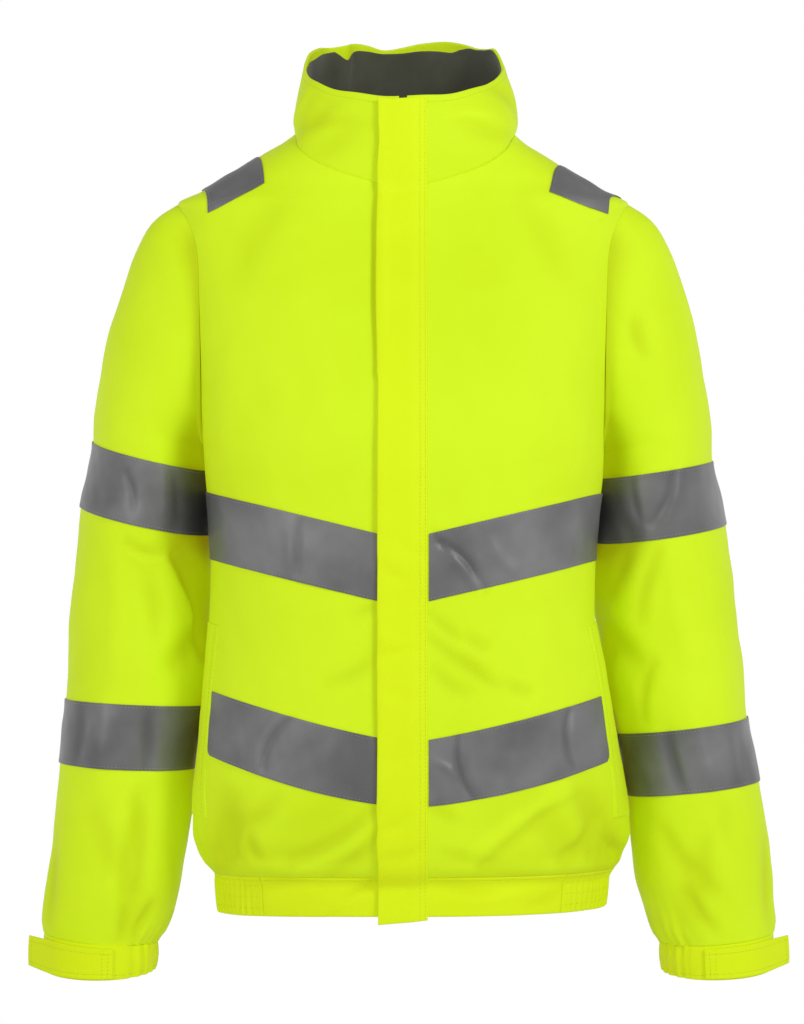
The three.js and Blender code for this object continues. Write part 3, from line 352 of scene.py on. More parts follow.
# Height of the rim above or below its smooth slope, by the angle from the centre
# front to the wearer's left, and how far the lining stops short of it
COLLAR_RIM = [
    (0, 0), (60, 0), (90, 0.3), (104, 4), (114, 7), (124, 4), (135, 1), (154, 2.5), (170, -1.5),
    (189, -6.3), (200, -2), (210, 0.8), (223, 1.6), (236, 4), (252, 6), (262, 3), (275, 0), (360, 0),
]
LINING_DROP = [
    (0, 0.8), (90, 0.5), (114, 0.3), (135, 0.5), (145, 4), (154, 8.2), (165, 6.5), (180, 4.2),
    (189, 2.5), (200, 4.5), (210, 6), (213.5, 8), (217, 12), (220.5, 7), (224, 3.5), (236, 5), (247, 7),
    (262, 4), (280, 1.5), (300, 1), (360, 0.8),
]
# Folds in the collar, by angle and by height up it
COLLAR_FOLDS = [
    (300, 10, 322, 52, 7, -2.2, 4), (328, 4, 340, 36, 6, -1.6, 2), (52, 8, 26, 42, 7, -1.8, -4),
    (74, 22, 58, 64, 7, -2.0, 3), (286, 14, 297, 56, 7, 1.8, 2), (120, 14, 130, 56, 9, -1.6, 3),
    (175, 14, 182, 50, 10, -1.5, 4), (40, 40, 18, 52, 6, 1.2, 2), (318, 30, 345, 44, 6, -1.3, -3),
    (256, 20, 262, 60, 8, -1.8, 2), (90, 10, 96, 50, 8, -1.6, -2),
]
# Wrinkles in the flap, by distance to the left and height
FLAP_WRINKLES = [
    (-18, -318, 6, -330, 5, -0.7, 3), (-4, -300, 18, -312, 5, -0.6, 2), (-18, -372, 0, -380, 5, 0.6, 2),
    (-16, -392, 14, -384, 5, -0.8, -3), (-18, -412, 8, -420, 6, -0.6, 3),
    (-10, -470, 18, -462, 6, -0.5, 2), (-18, -520, 4, -512, 5, -0.8, 2),
    (-16, -541, 16, -535, 5, -0.8, 3), (-18, -90, 6, -104, 7, 0.5, 2),
    (-16, -180, 12, -190, 7, -0.4, 2), (-18, -240, 18, -232, 6, -0.4, 2),
    (-18, -30, 10, -24, 5, -0.5, 2),
]


def powered(value, exponent):
    return np.sign(value) * np.abs(value) ** exponent


def mix(a, b, share):
    return a + (b - a) * share


def smooth(share):
    share = np.clip(share, 0, 1)
    return share * share * (3 - 2 * share)


def bell(distance):
    return np.exp(-(distance**2))


def unit(vectors):
    return vectors / np.maximum(np.linalg.norm(vectors, axis=-1, keepdims=True), 1e-9)


def lengths(points, axis):
    return np.linalg.norm(np.diff(points, axis=axis), axis=-1)


def run_along(points, axis=0):
    """Length from the first point of a line, or from the first row of a grid."""
    steps = np.cumsum(lengths(points, axis), axis)
    return np.concatenate([np.zeros_like(np.take(steps, [0], axis)), steps], axis)


def cubic(start, leave, end, arrive, t):
    """A curve by its ends and its directions there."""
    return (
        start * (1 + 2 * t) * (1 - t) ** 2
        + leave * t * (1 - t) ** 2
        + end * t * t * (3 - 2 * t)
        + arrive * t * t * (t - 1)
    )


def curve(knots, values):
    """A smooth curve through the values, with no overshoot."""
    order = np.argsort(knots)
    knots, values = np.array(knots, float)[order], np.array(values, float)[order]
    secants = np.diff(values) / np.diff(knots)
    slopes = np.zeros_like(values)
    slopes[0], slopes[-1] = secants[0], secants[-1]
    before, after = secants[:-1], secants[1:]
    same = before * after > 0
    slopes[1:-1][same] = 2 * before[same] * after[same] / (before[same] + after[same])

    def at(x):
        x = np.clip(np.asarray(x, float), knots[0], knots[-1])
        i = np.clip(np.searchsorted(knots, x), 1, len(knots) - 1)
        span = knots[i] - knots[i - 1]
        t = (x - knots[i - 1]) / span
        return cubic(values[i - 1], slopes[i - 1] * span, values[i], slopes[i] * span, t)

    return at


def columns(table, keys):
    """A smooth curve over height for each named column of a table."""
    heights, *values = zip(*table)
    return {key: curve(heights, column) for key, column in zip(keys, values)}


def section(curves, z):
    return {key: at(z) for key, at in curves.items()}


TORSO_CURVES = columns(TORSO, TORSO_KEYS)
SLEEVE_CURVES = {side: columns(table, SLEEVE_KEYS) for side, table in SLEEVES.items()}
RIM_CURVE, DROP_CURVE = (curve(*zip(*table)) for table in (COLLAR_RIM, LINING_DROP))


def half_section(s, ahead):
    """Power and depth of the front half of a torso section where ahead, else the back."""
    power = np.where(ahead, s["front_power"], s["back_power"])
    return power, np.where(ahead, s["front"] - s["widest"], s["back"] + s["widest"])


def torso_point(angle, z):
    """A point of the torso, at an angle round it from the centre front to the left."""
    angle, z = np.broadcast_arrays(np.radians(angle), np.asarray(z, float))
    s = section(TORSO_CURVES, z)
    sine, cosine = np.sin(angle), np.cos(angle)
    power, depth = half_section(s, cosine > 0)
    x = s["centre"] + s["half"] * powered(sine, 2 / power)
    forward = s["widest"] + depth * powered(cosine, 2 / power)
    return np.stack([x, -forward, z], -1)


def torso_normal(angle, z):
    around = torso_point(angle + 0.5, z) - torso_point(angle - 0.5, z)
    up = torso_point(angle, z + 1) - torso_point(angle, z - 1)
    return unit(np.cross(around, up))


def angle_at_forward(z, forward):
    """The angle at which the torso is this far in front of the side seam."""
    s = section(TORSO_CURVES, z)
    ahead = forward - s["widest"]
    power, depth = half_section(s, ahead > 0)
    return np.degrees(np.arccos(np.clip(powered(ahead / depth, power / 2), -1, 1)))


def angle_at_x(z, x):
    """The angle at which the torso's front is this far to the left."""
    s = section(TORSO_CURVES, z)
    share = powered((x - s["centre"]) / s["half"], s["front_power"] / 2)
    return np.degrees(np.arcsin(np.clip(share, -1, 1)))


def torso_side(side, z, forward):
    """The torso's side at a height, this far in front of the side seam."""
    z, forward = np.broadcast_arrays(np.asarray(z, float), np.asarray(forward, float))
    s = section(TORSO_CURVES, z)
    ahead = forward - s["widest"]
    power, depth = half_section(s, ahead > 0)
    share = np.maximum(0, 1 - np.abs(ahead / depth) ** power) ** (1 / power)
    return np.stack([s["centre"] + side * s["half"] * share, -forward, z], -1)


def armhole_place(angle):
    """Height and forward reach of the armhole: 0 at the armpit, 90 at the front."""
    sine, cosine = np.sin(np.radians(angle)), np.cos(np.radians(angle))
    reach = np.where(sine > 0, ARMHOLE_FRONT, ARMHOLE_BACK)
    z = ARMHOLE_MIDDLE - ARMHOLE_HALF * powered(cosine, 2 / ARMHOLE_POWER)
    return z, reach * powered(sine, 2 / ARMHOLE_POWER)


def grid_lines():
    """The panel grid lines, as dicts, with how far forward the panels end on each."""
    keys = ("name", "front", "side", "back", "bend", "skew")
    closed = {"front": 0, "back": 0}
    lines = [dict(zip(keys, row), edge=closed) for row in LOWER_LINES]
    for step in range(ARMHOLE_STEPS + 1):
        z, front_edge = armhole_place(180 * step / ARMHOLE_STEPS)
        back_edge = armhole_place(360 - 180 * step / ARMHOLE_STEPS)[1]
        share = (z - PIT_Z) / (TIP_Z - PIT_Z)
        foot, head = ARMHOLE_FOOT_LINE, ARMHOLE_HEAD_LINE
        row = ("armhole", mix(foot[0], head[0], share), float(z), mix(foot[1], head[1], share))
        bend = mix(foot[2], head[2], share * share)
        edge = {"front": float(front_edge), "back": float(back_edge)}
        lines.append(dict(zip(keys, (*row, bend, 0)), edge=edge))
    return lines + [dict(zip(keys, row), edge=closed) for row in SHOULDER_LINES]


LINES = grid_lines()
LINE_AT = {line["name"]: i for i, line in enumerate(LINES)}


def end_turn(line, side, face):
    """How far round from the centre front or back a panel reaches on this line."""
    angle = float(angle_at_forward(line["side"] - side * line["skew"], line["edge"][face]))
    return angle if face == "front" else 180 - angle


def line_height(line, side, face, turn):
    """Height of a grid line, so far round from the centre front or back."""
    side_z = line["side"] - side * line["skew"]
    edge = end_turn(line, side, face)
    whole = math.sin(math.radians(edge)) if edge < 90 else 1
    share = np.sin(np.radians(np.minimum(np.abs(turn), 90))) / whole
    return side_z + (line[face] - side_z) * (1 - np.minimum(share, 1) ** line["bend"])


def height_round(line, angle):
    """Height of a grid line at angles from the centre front to the left, 0 to 360."""
    turn = np.where(angle <= 180, angle, 360 - angle)
    z = np.zeros_like(turn)
    for side in (RIGHT, LEFT):
        near = (angle <= 180) == (side == LEFT)
        front, back = near & (turn <= 90), near & (turn > 90)
        z[front] = line_height(line, side, "front", turn[front])
        z[back] = line_height(line, side, "back", 180 - turn[back])
    return z


def fold_shift(folds, u, v, sharp=False):
    """How far a set of folds moves points, from their distance to each fold's line.
    With sharp, wide folds count for less, as for the painted shade in a crease."""
    shift = np.zeros(np.broadcast(u, v).shape)
    for u1, v1, u2, v2, width, depth, bow in folds:
        du, dv = u2 - u1, v2 - v1
        length = math.hypot(du, dv)
        along = ((u - u1) * du + (v - v1) * dv) / length**2
        near = np.clip(along, 0, 1)
        across = ((u - u1) * dv - (v - v1) * du) / length - bow * 4 * near * (1 - near)
        beyond = (along - near) * length
        off = np.hypot(across, beyond) / width
        share = min(1, (SHARP_WIDTH / width) ** 2) if sharp else 1
        shift += depth * share * bell(off) * (0.55 + 0.45 * np.sin(np.pi * near))
    return shift


def ripple(points, wavelength, seed):
    """A soft unevenness over the cloth, the same each run, about -1 to 1."""
    draw = np.random.default_rng(seed)
    total = np.zeros(points.shape[:-1])
    waves = 6
    for _ in range(waves):
        way = unit(draw.normal(size=3))
        turns = 2 * math.pi / (wavelength * draw.uniform(0.7, 1.5))
        total += np.sin(points @ way * turns + draw.uniform(0, 2 * math.pi))
    return total / math.sqrt(waves)


def pleats(angle, counts, seed):
    """Uneven waves round a tube: the sum of waves with these counts to the turn."""
    draw = np.random.default_rng(seed)
    return sum(
        draw.uniform(0.5, 1) * np.sin(np.radians(angle) * count + draw.uniform(0, 6)) for count in counts
    )


def hem_gather(points):
    """Pleats that rise from the elastic part of the hem and die out above it."""
    angle = np.degrees(np.arctan2(points[..., 0], -points[..., 1]))
    elastic = smooth((np.abs(angle) - HEM_GATHER_ANGLE + 4) / 16)
    wave = pleats(angle, (31, 43, 57, 76), 5)
    height = points[..., 2] - HEM_SIDE
    rise = np.where(height > 0, height, -3 * height)
    return HEM_PLEAT * 0.5 * wave * elastic * np.exp(-rise / PLEAT_REACH)


def off_seams(points):
    """0 at the armholes and at the hem, and 1 away from them."""
    forward, z = -points[..., 1], points[..., 2]
    reach = np.where(forward > 0, ARMHOLE_FRONT, ARMHOLE_BACK)
    rise = (z - ARMHOLE_MIDDLE) / ARMHOLE_HALF
    ring = np.abs(rise) ** ARMHOLE_POWER + np.abs(forward / reach) ** ARMHOLE_POWER
    outside = (ring ** (1 / ARMHOLE_POWER) - 1) * reach
    return smooth(outside / SEAM_FADE) * smooth((z - HEM_SIDE - 3) / SEAM_FADE)


def torso_creases(points, sharp=False):
    front = fold_shift(FRONT_FOLDS + TAPE_CREASES, points[..., 0], points[..., 2], sharp)
    back = fold_shift(BACK_FOLDS, points[..., 0], points[..., 2], sharp)
    fade = smooth(np.abs(points[..., 1]) / FOLD_FADE)
    return FOLD_SCALE * np.where(points[..., 1] < 0, front, back) * fade


def torso_crease_shade(angle, z):
    """How much painted shade the torso's cloth gets in its folds, from 0 to 1."""
    return np.clip(-torso_creases(torso_point(angle, z), True) / FULL_SHADE_DEPTH, 0, 1)


def torso_shift(points):
    """Everything that moves the torso's cloth off its smooth section."""
    shift = torso_creases(points) + 0.8 * ripple(points, 85, 3) + 0.22 * ripple(points, 34, 4)
    return (shift + hem_gather(points)) * off_seams(points)


def set_shoulder(points):
    """The shoulder sags a little under its tape and rises at the top of the sleeve."""
    x, y, z = np.abs(points[..., 0]), points[..., 1], points[..., 2]
    rise = sum(height * bell((x - middle) / reach) for height, middle, reach in SHOULDER_SETS)
    moved = points.copy()
    moved[..., 2] += rise * bell(y / 70) * smooth((z + 90) / 50)
    return moved


def torso_surface(angle, z):
    """Points and outward normals of the torso's cloth."""
    base = torso_point(angle, z)
    normal = torso_normal(angle, z)
    return set_shoulder(base + normal * torso_shift(base)[..., None]), normal


def line_stops(first, last):
    """Row stops from one grid line to another, with the greatest rise between them."""
    stops = [(LINE_AT[first], 0)]
    for k in range(LINE_AT[first], LINE_AT[last]):
        low, high = LINES[k], LINES[k + 1]
        stops.append((k + 1, max(abs(high[key] - low[key]) for key in ("front", "side", "back"))))
    return stops


def spread(stops, pitch):
    """Numbers from the first stop to the last, through each, about a pitch apart.
    Stops are (number, length from the last one)."""
    out = [stops[0][0]]
    for (a, _), (b, length) in zip(stops[:-1], stops[1:]):
        steps = max(1, round(length / pitch))
        out += [mix(a, b, k / steps) for k in range(1, steps + 1)]
    return np.array(out, float)


def panel_place(side, face, rows, shares):
    """Angle and height for grid rows (line numbers, with fractions) and shares of the
    way from the trim or the centre back to the panel's end. In front, a share below 0
    lies between the trim and the zip."""
    turns, heights = [], []
    for line in LINES:
        end = end_turn(line, side, face)
        if face == "front":
            starts = (TRIM_START, PANEL_START)
            trim, zip_edge = (side * float(angle_at_x(line["front"], side * x)) for x in starts)
            turn = np.where(shares < 0, mix(trim, zip_edge, -shares), mix(trim, end, shares))
        else:
            turn = mix(0, end, shares)
        turns.append(turn)
        heights.append(line_height(line, side, face, turn))
    below = np.clip(np.floor(rows).astype(int), 0, len(LINES) - 2)
    part = (rows - below)[:, None]
    turn, z = (mix(grid[below], grid[below + 1], part) for grid in (np.array(turns), np.array(heights)))
    return side * (turn if face == "front" else 180 - turn), z


def back_place(rows):
    """Angle and height for grid rows of the back, from the left side to the right."""
    shares = np.linspace(1, 0, BACK_COLUMNS)
    left = panel_place(LEFT, "back", rows, shares)
    right = panel_place(RIGHT, "back", rows, shares[:-1])
    angle = np.concatenate([left[0], right[0][:, ::-1] + 360], 1)
    return angle, np.concatenate([left[1], right[1][:, ::-1]], 1)


def facing(points, closed=False, outward=1):
    """Outward normals of a grid of points."""
    if closed:
        after, before = np.roll(points, -1, 1), np.roll(points, 1, 1)
    else:
        after = np.concatenate([points[:, 1:], points[:, -1:]], 1)
        before = np.concatenate([points[:, :1], points[:, :-1]], 1)
    above = np.concatenate([points[1:], points[-1:]], 0)
    below = np.concatenate([points[:1], points[:-1]], 0)
    return unit(np.cross(after - before, above - below)) * outward


# Walls and meshes


class Wall:
    """A sheet of cloth with thickness, on a grid of points and outward normals. tuck
    names the edges that run on under the next piece: foot, head or sides. A grid from 0
    to 1 gives the painted shade at each point, which the materials lay into its colour."""

    def __init__(self, points, normals, thickness, lift=0.0, closed=False, soft=1.2, tuck=(),
                 painted_shade=0.0, edge=FREE_EDGE):
        self.closed = closed
        points, normals = np.array(points, float), np.array(normals, float)
        shape = points.shape[:2]
        lift, painted_shade = (np.broadcast_to(np.asarray(grid, float), shape).copy() for grid in (lift, painted_shade))
        grids = [points, normals, lift, np.zeros(shape), painted_shade]
        grids = self.border(grids, soft, "foot" in tuck, "head" in tuck)
        if not closed:
            grids = [np.swapaxes(grid, 0, 1) for grid in grids]
            grids = self.border(grids, soft, "sides" in tuck, "sides" in tuck)
            grids = [np.swapaxes(grid, 0, 1) for grid in grids]
        self.points, normals, lift, sink, self.painted_shade = grids
        self.normals = unit(normals)
        sink = np.where(sink < TUCKED, sink * edge, TUCK_SINK)
        self.outer = self.points + self.normals * (lift - sink * thickness)[..., None]
        self.inner = self.points + self.normals * (lift - thickness + sink * thickness)[..., None]

    @staticmethod
    def border(grids, soft, tuck_first, tuck_last):
        """Adds rows near both ends, so that the edge is rounded, and a tuck beyond."""
        points = grids[0]
        shares = []
        for first, second in ((0, 1), (-1, -2)):
            length = max(np.linalg.norm(points[second] - points[first], axis=-1).mean(), 1e-6)
            shares.append([min(at * soft / length, 0.45 * at + 0.02) for at, _ in EDGE_PROFILE[1:]])
        out = []
        for grid in grids:
            head = [mix(grid[0], grid[1], share) for share in shares[0]]
            tail = [mix(grid[-1], grid[-2], share) for share in shares[1]]
            out.append(np.concatenate([grid[:1], head, grid[1:-1], tail[::-1], grid[-1:]], 0))
        points, sink = out[0], out[3]
        for k, (_, deep) in enumerate(EDGE_PROFILE):
            sink[k] = np.maximum(sink[k], deep)
            sink[-1 - k] = np.maximum(sink[-1 - k], deep)
        if tuck_first:
            out = [np.concatenate([grid[:1], grid]) for grid in out]
            out[0][0] += unit(points[0] - points[1]) * TUCK
            out[3][0] = TUCKED
        if tuck_last:
            out = [np.concatenate([grid, grid[-1:]]) for grid in out]
            out[0][-1] += unit(points[-1] - points[-2]) * TUCK
            out[3][-1] = TUCKED
        return out


def grid_faces(rows, cols, closed, start, flip):
    """Quads of a grid of vertices, as an array of four indices."""
    i, j = np.meshgrid(np.arange(rows - 1), np.arange(cols if closed else cols - 1), indexing="ij")
    i, j = i.ravel(), j.ravel()
    k = (j + 1) % cols
    quads = np.stack([i * cols + j, i * cols + k, (i + 1) * cols + k, (i + 1) * cols + j], 1) + start
    return quads[:, ::-1] if flip else quads


def signed_volume(verts, faces):
    a, b, c, d = (verts[faces[:, k]] for k in range(4))
    return float(np.sum(np.cross(a, b) * c) + np.sum(np.cross(a, c) * d))


def make_mesh(name, verts, faces, materials, slots=None, uv=None):
    """A smooth-shaded mesh object from arrays, in millimetres."""
    mesh = bpy.data.meshes.new(name)
    sides = faces.shape[1]
    mesh.vertices.add(len(verts))
    mesh.vertices.foreach_set("co", (verts * MM).astype(np.float32).ravel())
    mesh.loops.add(faces.size)
    mesh.loops.foreach_set("vertex_index", faces.astype(np.int32).ravel())
    mesh.polygons.add(len(faces))
    mesh.polygons.foreach_set("loop_start", np.arange(0, faces.size, sides, dtype=np.int32))
    for material in materials:
        mesh.materials.append(material)
    if slots is not None:
        mesh.polygons.foreach_set("material_index", slots.astype(np.int32))
    if uv is not None:
        layer = mesh.uv_layers.new(name="cloth")
        layer.data.foreach_set("uv", uv[faces.ravel()].astype(np.float32).ravel())
    mesh.update(calc_edges=True)
    mesh.validate()
    mesh.polygons.foreach_set("use_smooth", np.ones(len(mesh.polygons), bool))
    piece = bpy.data.objects.new(name, mesh)
    bpy.context.scene.collection.objects.link(piece)
    return piece


def make_wall(name, wall, materials, inner_material):
    """The mesh object of a wall, with cloth coordinates in metres as its UV map."""
    rows, cols = wall.outer.shape[:2]
    count = rows * cols
    verts = np.concatenate([wall.outer.reshape(-1, 3), wall.inner.reshape(-1, 3)])
    outer = grid_faces(rows, cols, wall.closed, 0, False)
    inner = grid_faces(rows, cols, wall.closed, count, True)
    span = np.arange(cols if wall.closed else cols - 1)
    after = (span + 1) % cols
    top = (rows - 1) * cols
    rims = [
        np.stack([span + count, after + count, after, span], 1),
        np.stack([top + span, top + after, top + after + count, top + span + count], 1),
    ]
    if not wall.closed:
        up = np.arange(rows - 1) * cols
        rims.append(np.stack([up, up + cols, up + cols + count, up + count], 1))
        last = up + cols - 1
        rims.append(np.stack([last + count, last + cols + count, last + cols, last], 1))
    faces = np.concatenate([outer, inner, *rims])
    if signed_volume(verts, faces) < 0:
        faces = faces[:, ::-1]
    slots = np.zeros(len(faces), np.int32)
    slots[len(outer):len(outer) + len(inner)] = inner_material
    uv = np.stack([run_along(wall.points, 1), run_along(wall.points, 0)], -1).reshape(-1, 2) * MM
    piece = make_mesh(name, verts, faces, materials, slots, np.concatenate([uv, uv]))
    # the painted shade of each point, as an attribute the materials read
    layer = piece.data.attributes.new("painted_shade", "FLOAT", "POINT")
    layer.data.foreach_set("value", np.tile(wall.painted_shade.ravel(), 2).astype(np.float32))
    return piece


# Materials


def new_material(name, roughness, specular, sheen=0.0, sheen_roughness=0.5):
    """A material, its nodes, its shader, and its cloth and solid coordinates."""
    material = bpy.data.materials.new(name)
    material.use_nodes = True
    tree = material.node_tree
    shader = tree.nodes["Principled BSDF"]
    shader.inputs["Roughness"].default_value = roughness
    shader.inputs["Specular IOR Level"].default_value = specular
    shader.inputs["Sheen Weight"].default_value = sheen
    shader.inputs["Sheen Roughness"].default_value = sheen_roughness
    place = node(tree, "ShaderNodeTexCoord")
    return material, tree, shader, place.outputs["UV"], place.outputs["Object"]


def node(tree, kind, inputs=None, **settings):
    made = tree.nodes.new(kind)
    for key, value in settings.items():
        setattr(made, key, value)
    for key, value in (inputs or {}).items():
        made.inputs[key].default_value = value
    return made


def noise(tree, coordinates, scale, detail, rough=0.5):
    made = node(tree, "ShaderNodeTexNoise", {"Scale": scale, "Detail": detail, "Roughness": rough})
    tree.links.new(coordinates, made.inputs["Vector"])
    return made.outputs["Fac"]


def ramp(tree, value, stops):
    made = node(tree, "ShaderNodeValToRGB")
    elements = made.color_ramp.elements
    while len(elements) < len(stops):
        elements.new(0.5)
    for element, (place, colour) in zip(elements, stops):
        element.position = place
        element.color = (*colour, 1)
    tree.links.new(value, made.inputs["Fac"])
    return made.outputs["Color"]


def calculate(tree, operation, *values):
    """A maths node on sockets or plain numbers."""
    made = node(tree, "ShaderNodeMath", operation=operation)
    for socket, value in zip(made.inputs, values):
        if isinstance(value, (int, float)):
            socket.default_value = value
        else:
            tree.links.new(value, socket)
    return made.outputs[0]


def blend(tree, *parts):
    """The sum of heights, each with its share."""
    total = None
    for height, share in parts:
        part = calculate(tree, "MULTIPLY", height, share)
        total = part if total is None else calculate(tree, "ADD", total, part)
    return total


def weave(tree, coordinates, threads_per_metre):
    """A plain weave: threads over and under each other, as a height."""
    split = node(tree, "ShaderNodeSeparateXYZ")
    tree.links.new(coordinates, split.inputs[0])
    turn = 2 * math.pi * threads_per_metre / 2
    warp, weft = (
        calculate(tree, "SINE", calculate(tree, "MULTIPLY", split.outputs[axis], turn)) for axis in "XY"
    )
    return calculate(tree, "MULTIPLY", warp, weft)


def bump(tree, shader, layers):
    """Stacks bumps, each a height, its depth in metres and its strength."""
    normal = None
    for height, distance, strength in layers:
        made = node(tree, "ShaderNodeBump", {"Strength": strength, "Distance": distance})
        tree.links.new(height, made.inputs["Height"])
        if normal is not None:
            tree.links.new(normal, made.inputs["Normal"])
        normal = made.outputs["Normal"]
    tree.links.new(normal, shader.inputs["Normal"])


def paint_crease_shade(tree, shader, colour, most, deep):
    """Paints shade into the creases: mixes the colour towards a deeper one by the
    painted shade attribute.
    """
    painted_shade = node(tree, "ShaderNodeAttribute", attribute_name="painted_shade").outputs["Fac"]
    shade = node(tree, "ShaderNodeMix", data_type="RGBA")
    tree.links.new(calculate(tree, "MULTIPLY", painted_shade, most), shade.inputs[0])
    tree.links.new(colour, shade.inputs[6])
    shade.inputs[7].default_value = (*deep, 1)
    tree.links.new(shade.outputs[2], shader.inputs["Base Color"])


def cloth_material(name, light, base, deep, roughness):
    """Coated polyester: a fine weave, slightly uneven dye and soft crumple. A little
    emission paints a warm yellow glow over the cloth, lifting its shade, in place of
    the fluorescence of the dye."""
    material, tree, shader, cloth, solid = new_material(name, roughness, 0.22, 0.06, 0.45)
    shader.inputs["Sheen Tint"].default_value = (0.95, 1.0, 0.2, 1)
    shader.inputs["Specular Tint"].default_value = (1.0, 1.0, 0.5, 1)
    # painted glow: an orange-yellow emission that brightens the cloth's shade
    shader.inputs["Emission Color"].default_value = (1.0, 0.68, 0.0, 1)
    shader.inputs["Emission Strength"].default_value = 0.15
    clouds = noise(tree, solid, 7.5, 3)
    crumple = noise(tree, solid, 38, 4, 0.55)
    grain = noise(tree, cloth, 2600, 2, 0.6)
    dye = blend(tree, (clouds, 0.72), (crumple, 0.18), (grain, 0.1))
    colour = ramp(tree, dye, [(0.28, deep), (0.5, base), (0.72, light)])
    # painted shade: the cloth turns a deeper olive in its creases
    paint_crease_shade(tree, shader, colour, 0.48, (0.33, 0.50, 0.001))
    threads = weave(tree, cloth, 2600)
    bump(tree, shader, [(crumple, 0.0011, 0.22), (threads, 0.00006, 0.35), (grain, 0.00005, 0.3)])
    return material


def tape_material():
    """Retroreflective tape: a matt grey film of tiny glass beads on cloth."""
    material, tree, shader, cloth, solid = new_material("reflective_tape", 0.4, 0.5)
    shader.inputs["Metallic"].default_value = 0.12
    clouds = noise(tree, solid, 16, 3)
    beads = noise(tree, cloth, 5200, 1, 0.7)
    film = blend(tree, (clouds, 0.8), (beads, 0.2))
    greys = ((0.36, 0.098), (0.5, 0.136), (0.64, 0.176))
    colour = ramp(tree, film, [(place, (grey, grey, grey + 0.003)) for place, grey in greys])
    # painted shade: the tape turns near black in its creases
    paint_crease_shade(tree, shader, colour, 0.65, (0.06, 0.06, 0.062))
    crumple = noise(tree, solid, 55, 3)
    bump(tree, shader, [(crumple, 0.0010, 0.25), (beads, 0.00005, 0.4)])
    return material


def lining_material():
    """Brushed knit inside the collar and the shell."""
    material, tree, shader, cloth, solid = new_material("collar_lining", 0.88, 0.2, 0.25)
    clouds = noise(tree, solid, 30, 4)
    fluff = noise(tree, cloth, 1500, 3, 0.7)
    shades = [(0.3, (0.055, 0.056, 0.036)), (0.5, (0.075, 0.077, 0.052)), (0.72, (0.105, 0.107, 0.078))]
    colour = ramp(tree, blend(tree, (clouds, 0.6), (fluff, 0.4)), shades)
    tree.links.new(colour, shader.inputs["Base Color"])
    bump(tree, shader, [(clouds, 0.002, 0.2), (fluff, 0.0003, 0.5)])
    return material


def plastic_material(name, colour):
    material, tree, shader, _, solid = new_material(name, 0.42, 0.5)
    grain = noise(tree, solid, 900, 2)
    dark = tuple(0.86 * c for c in colour)
    tree.links.new(ramp(tree, grain, [(0.35, dark), (0.65, colour)]), shader.inputs["Base Color"])
    bump(tree, shader, [(grain, 0.00005, 0.4)])
    return material


SHELL_SHADES = (0.51, 0.805, 0.016), (0.48, 0.765, 0.012), (0.45, 0.72, 0.007)
TRIM_SHADES = (0.555, 0.785, 0.008), (0.53, 0.755, 0.006), (0.505, 0.715, 0.004)
SHELL_CLOTH = cloth_material("hi_vis_cloth", *SHELL_SHADES, 0.62)
TRIM_CLOTH = cloth_material("hi_vis_trim", *TRIM_SHADES, 0.6)
TAPE_FILM = tape_material()
LINING_KNIT = lining_material()
ZIP_PLASTIC = plastic_material("zip_plastic", (0.50, 0.70, 0.02))
YELLOW_THREAD = plastic_material("yellow_thread", (0.52, 0.72, 0.02))
GREY_THREAD = plastic_material("grey_thread", (0.34, 0.34, 0.35))


# Finish slot and materials of each kind of piece
FINISHES = {
    "shell": ("hi_vis_yellow", [SHELL_CLOTH, LINING_KNIT]),
    "trim": ("hi_vis_yellow", [TRIM_CLOTH, LINING_KNIT]),
    "tape": ("reflective_tape", [TAPE_FILM]),
    "lining": ("collar_lining", [LINING_KNIT]),
    "zip": ("zip", [TRIM_CLOTH]),
}


def keep(piece, slot_name, *nodes):
    """Rides on the body and stands for its CAD nodes, which it hides. Its finish slot's name is not used."""
    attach(piece, "root")
    if nodes:
        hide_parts(*nodes)


def add_wall(name, wall, kind, cad_node, lined=False):
    """The piece of a wall. With lined, its inner face has the lining's colour."""
    slot_name, materials = FINISHES[kind]
    keep(make_wall(name, wall, materials, int(lined)), slot_name, cad_node)


stitch_lines = {"tape": [], "shell": []}


def sew(kind, wall, rows=(), columns=()):
    """Notes lines of stitches along rows and columns of a wall's outer points."""
    picks = [(row, slice(None)) for row in rows] + [(slice(None), column) for column in columns]
    for pick in picks:
        points, normals = wall.outer[pick] + wall.normals[pick] * THREAD_RAISED, wall.normals[pick]
        if wall.closed:
            points, normals = np.concatenate([points, points[:1]]), np.concatenate([normals, normals[:1]])
        stitch_lines[kind].append((points, normals))


# Torso: fronts, back, their tape and the pocket welts


def draw_in(points):
    """Draws the first row of points in by a seam's gap."""
    points[0] += unit(points[1] - points[0]) * SEAM


def front_wall(side):
    shares = np.concatenate([np.linspace(-1, 0, 5)[:-1], np.linspace(0, 1, FRONT_COLUMNS)])
    angle, z = panel_place(side, "front", ALL_ROWS, shares)
    points, normals = torso_surface(angle, z)
    draw_in(points)
    return Wall(points, normals, SHELL, soft=1.6, painted_shade=torso_crease_shade(angle, z), edge=SEWN_EDGE)


def back_wall():
    angle, z = back_place(ALL_ROWS)
    points, normals = torso_surface(angle, z)
    from_left = points.swapaxes(0, 1)
    for edge_first in (points, from_left, from_left[::-1]):
        draw_in(edge_first)
    painted_shade = torso_crease_shade(angle, z)
    return Wall(points, normals, SHELL, soft=1.6, tuck=("sides",), painted_shade=painted_shade, edge=SEWN_EDGE)


def tape_wall(points, normals, seed, creases=0.0, closed=False):
    """Tape lies close, puckers a little along its seams and gets painted shade in its creases."""
    lift = LAID + TAPE + 0.14 * ripple(points, 18, seed) + 0.1 * ripple(points, 60, seed + 40)
    painted_shade = np.clip(-creases / TAPE_FULL_SHADE_DEPTH, 0, 1)
    return Wall(points, normals, TAPE, lift, closed, soft=0.5, painted_shade=painted_shade)


def tape_rows(level, pitch):
    return spread(line_stops(f"{level}_tape_foot", f"{level}_tape_top"), pitch)


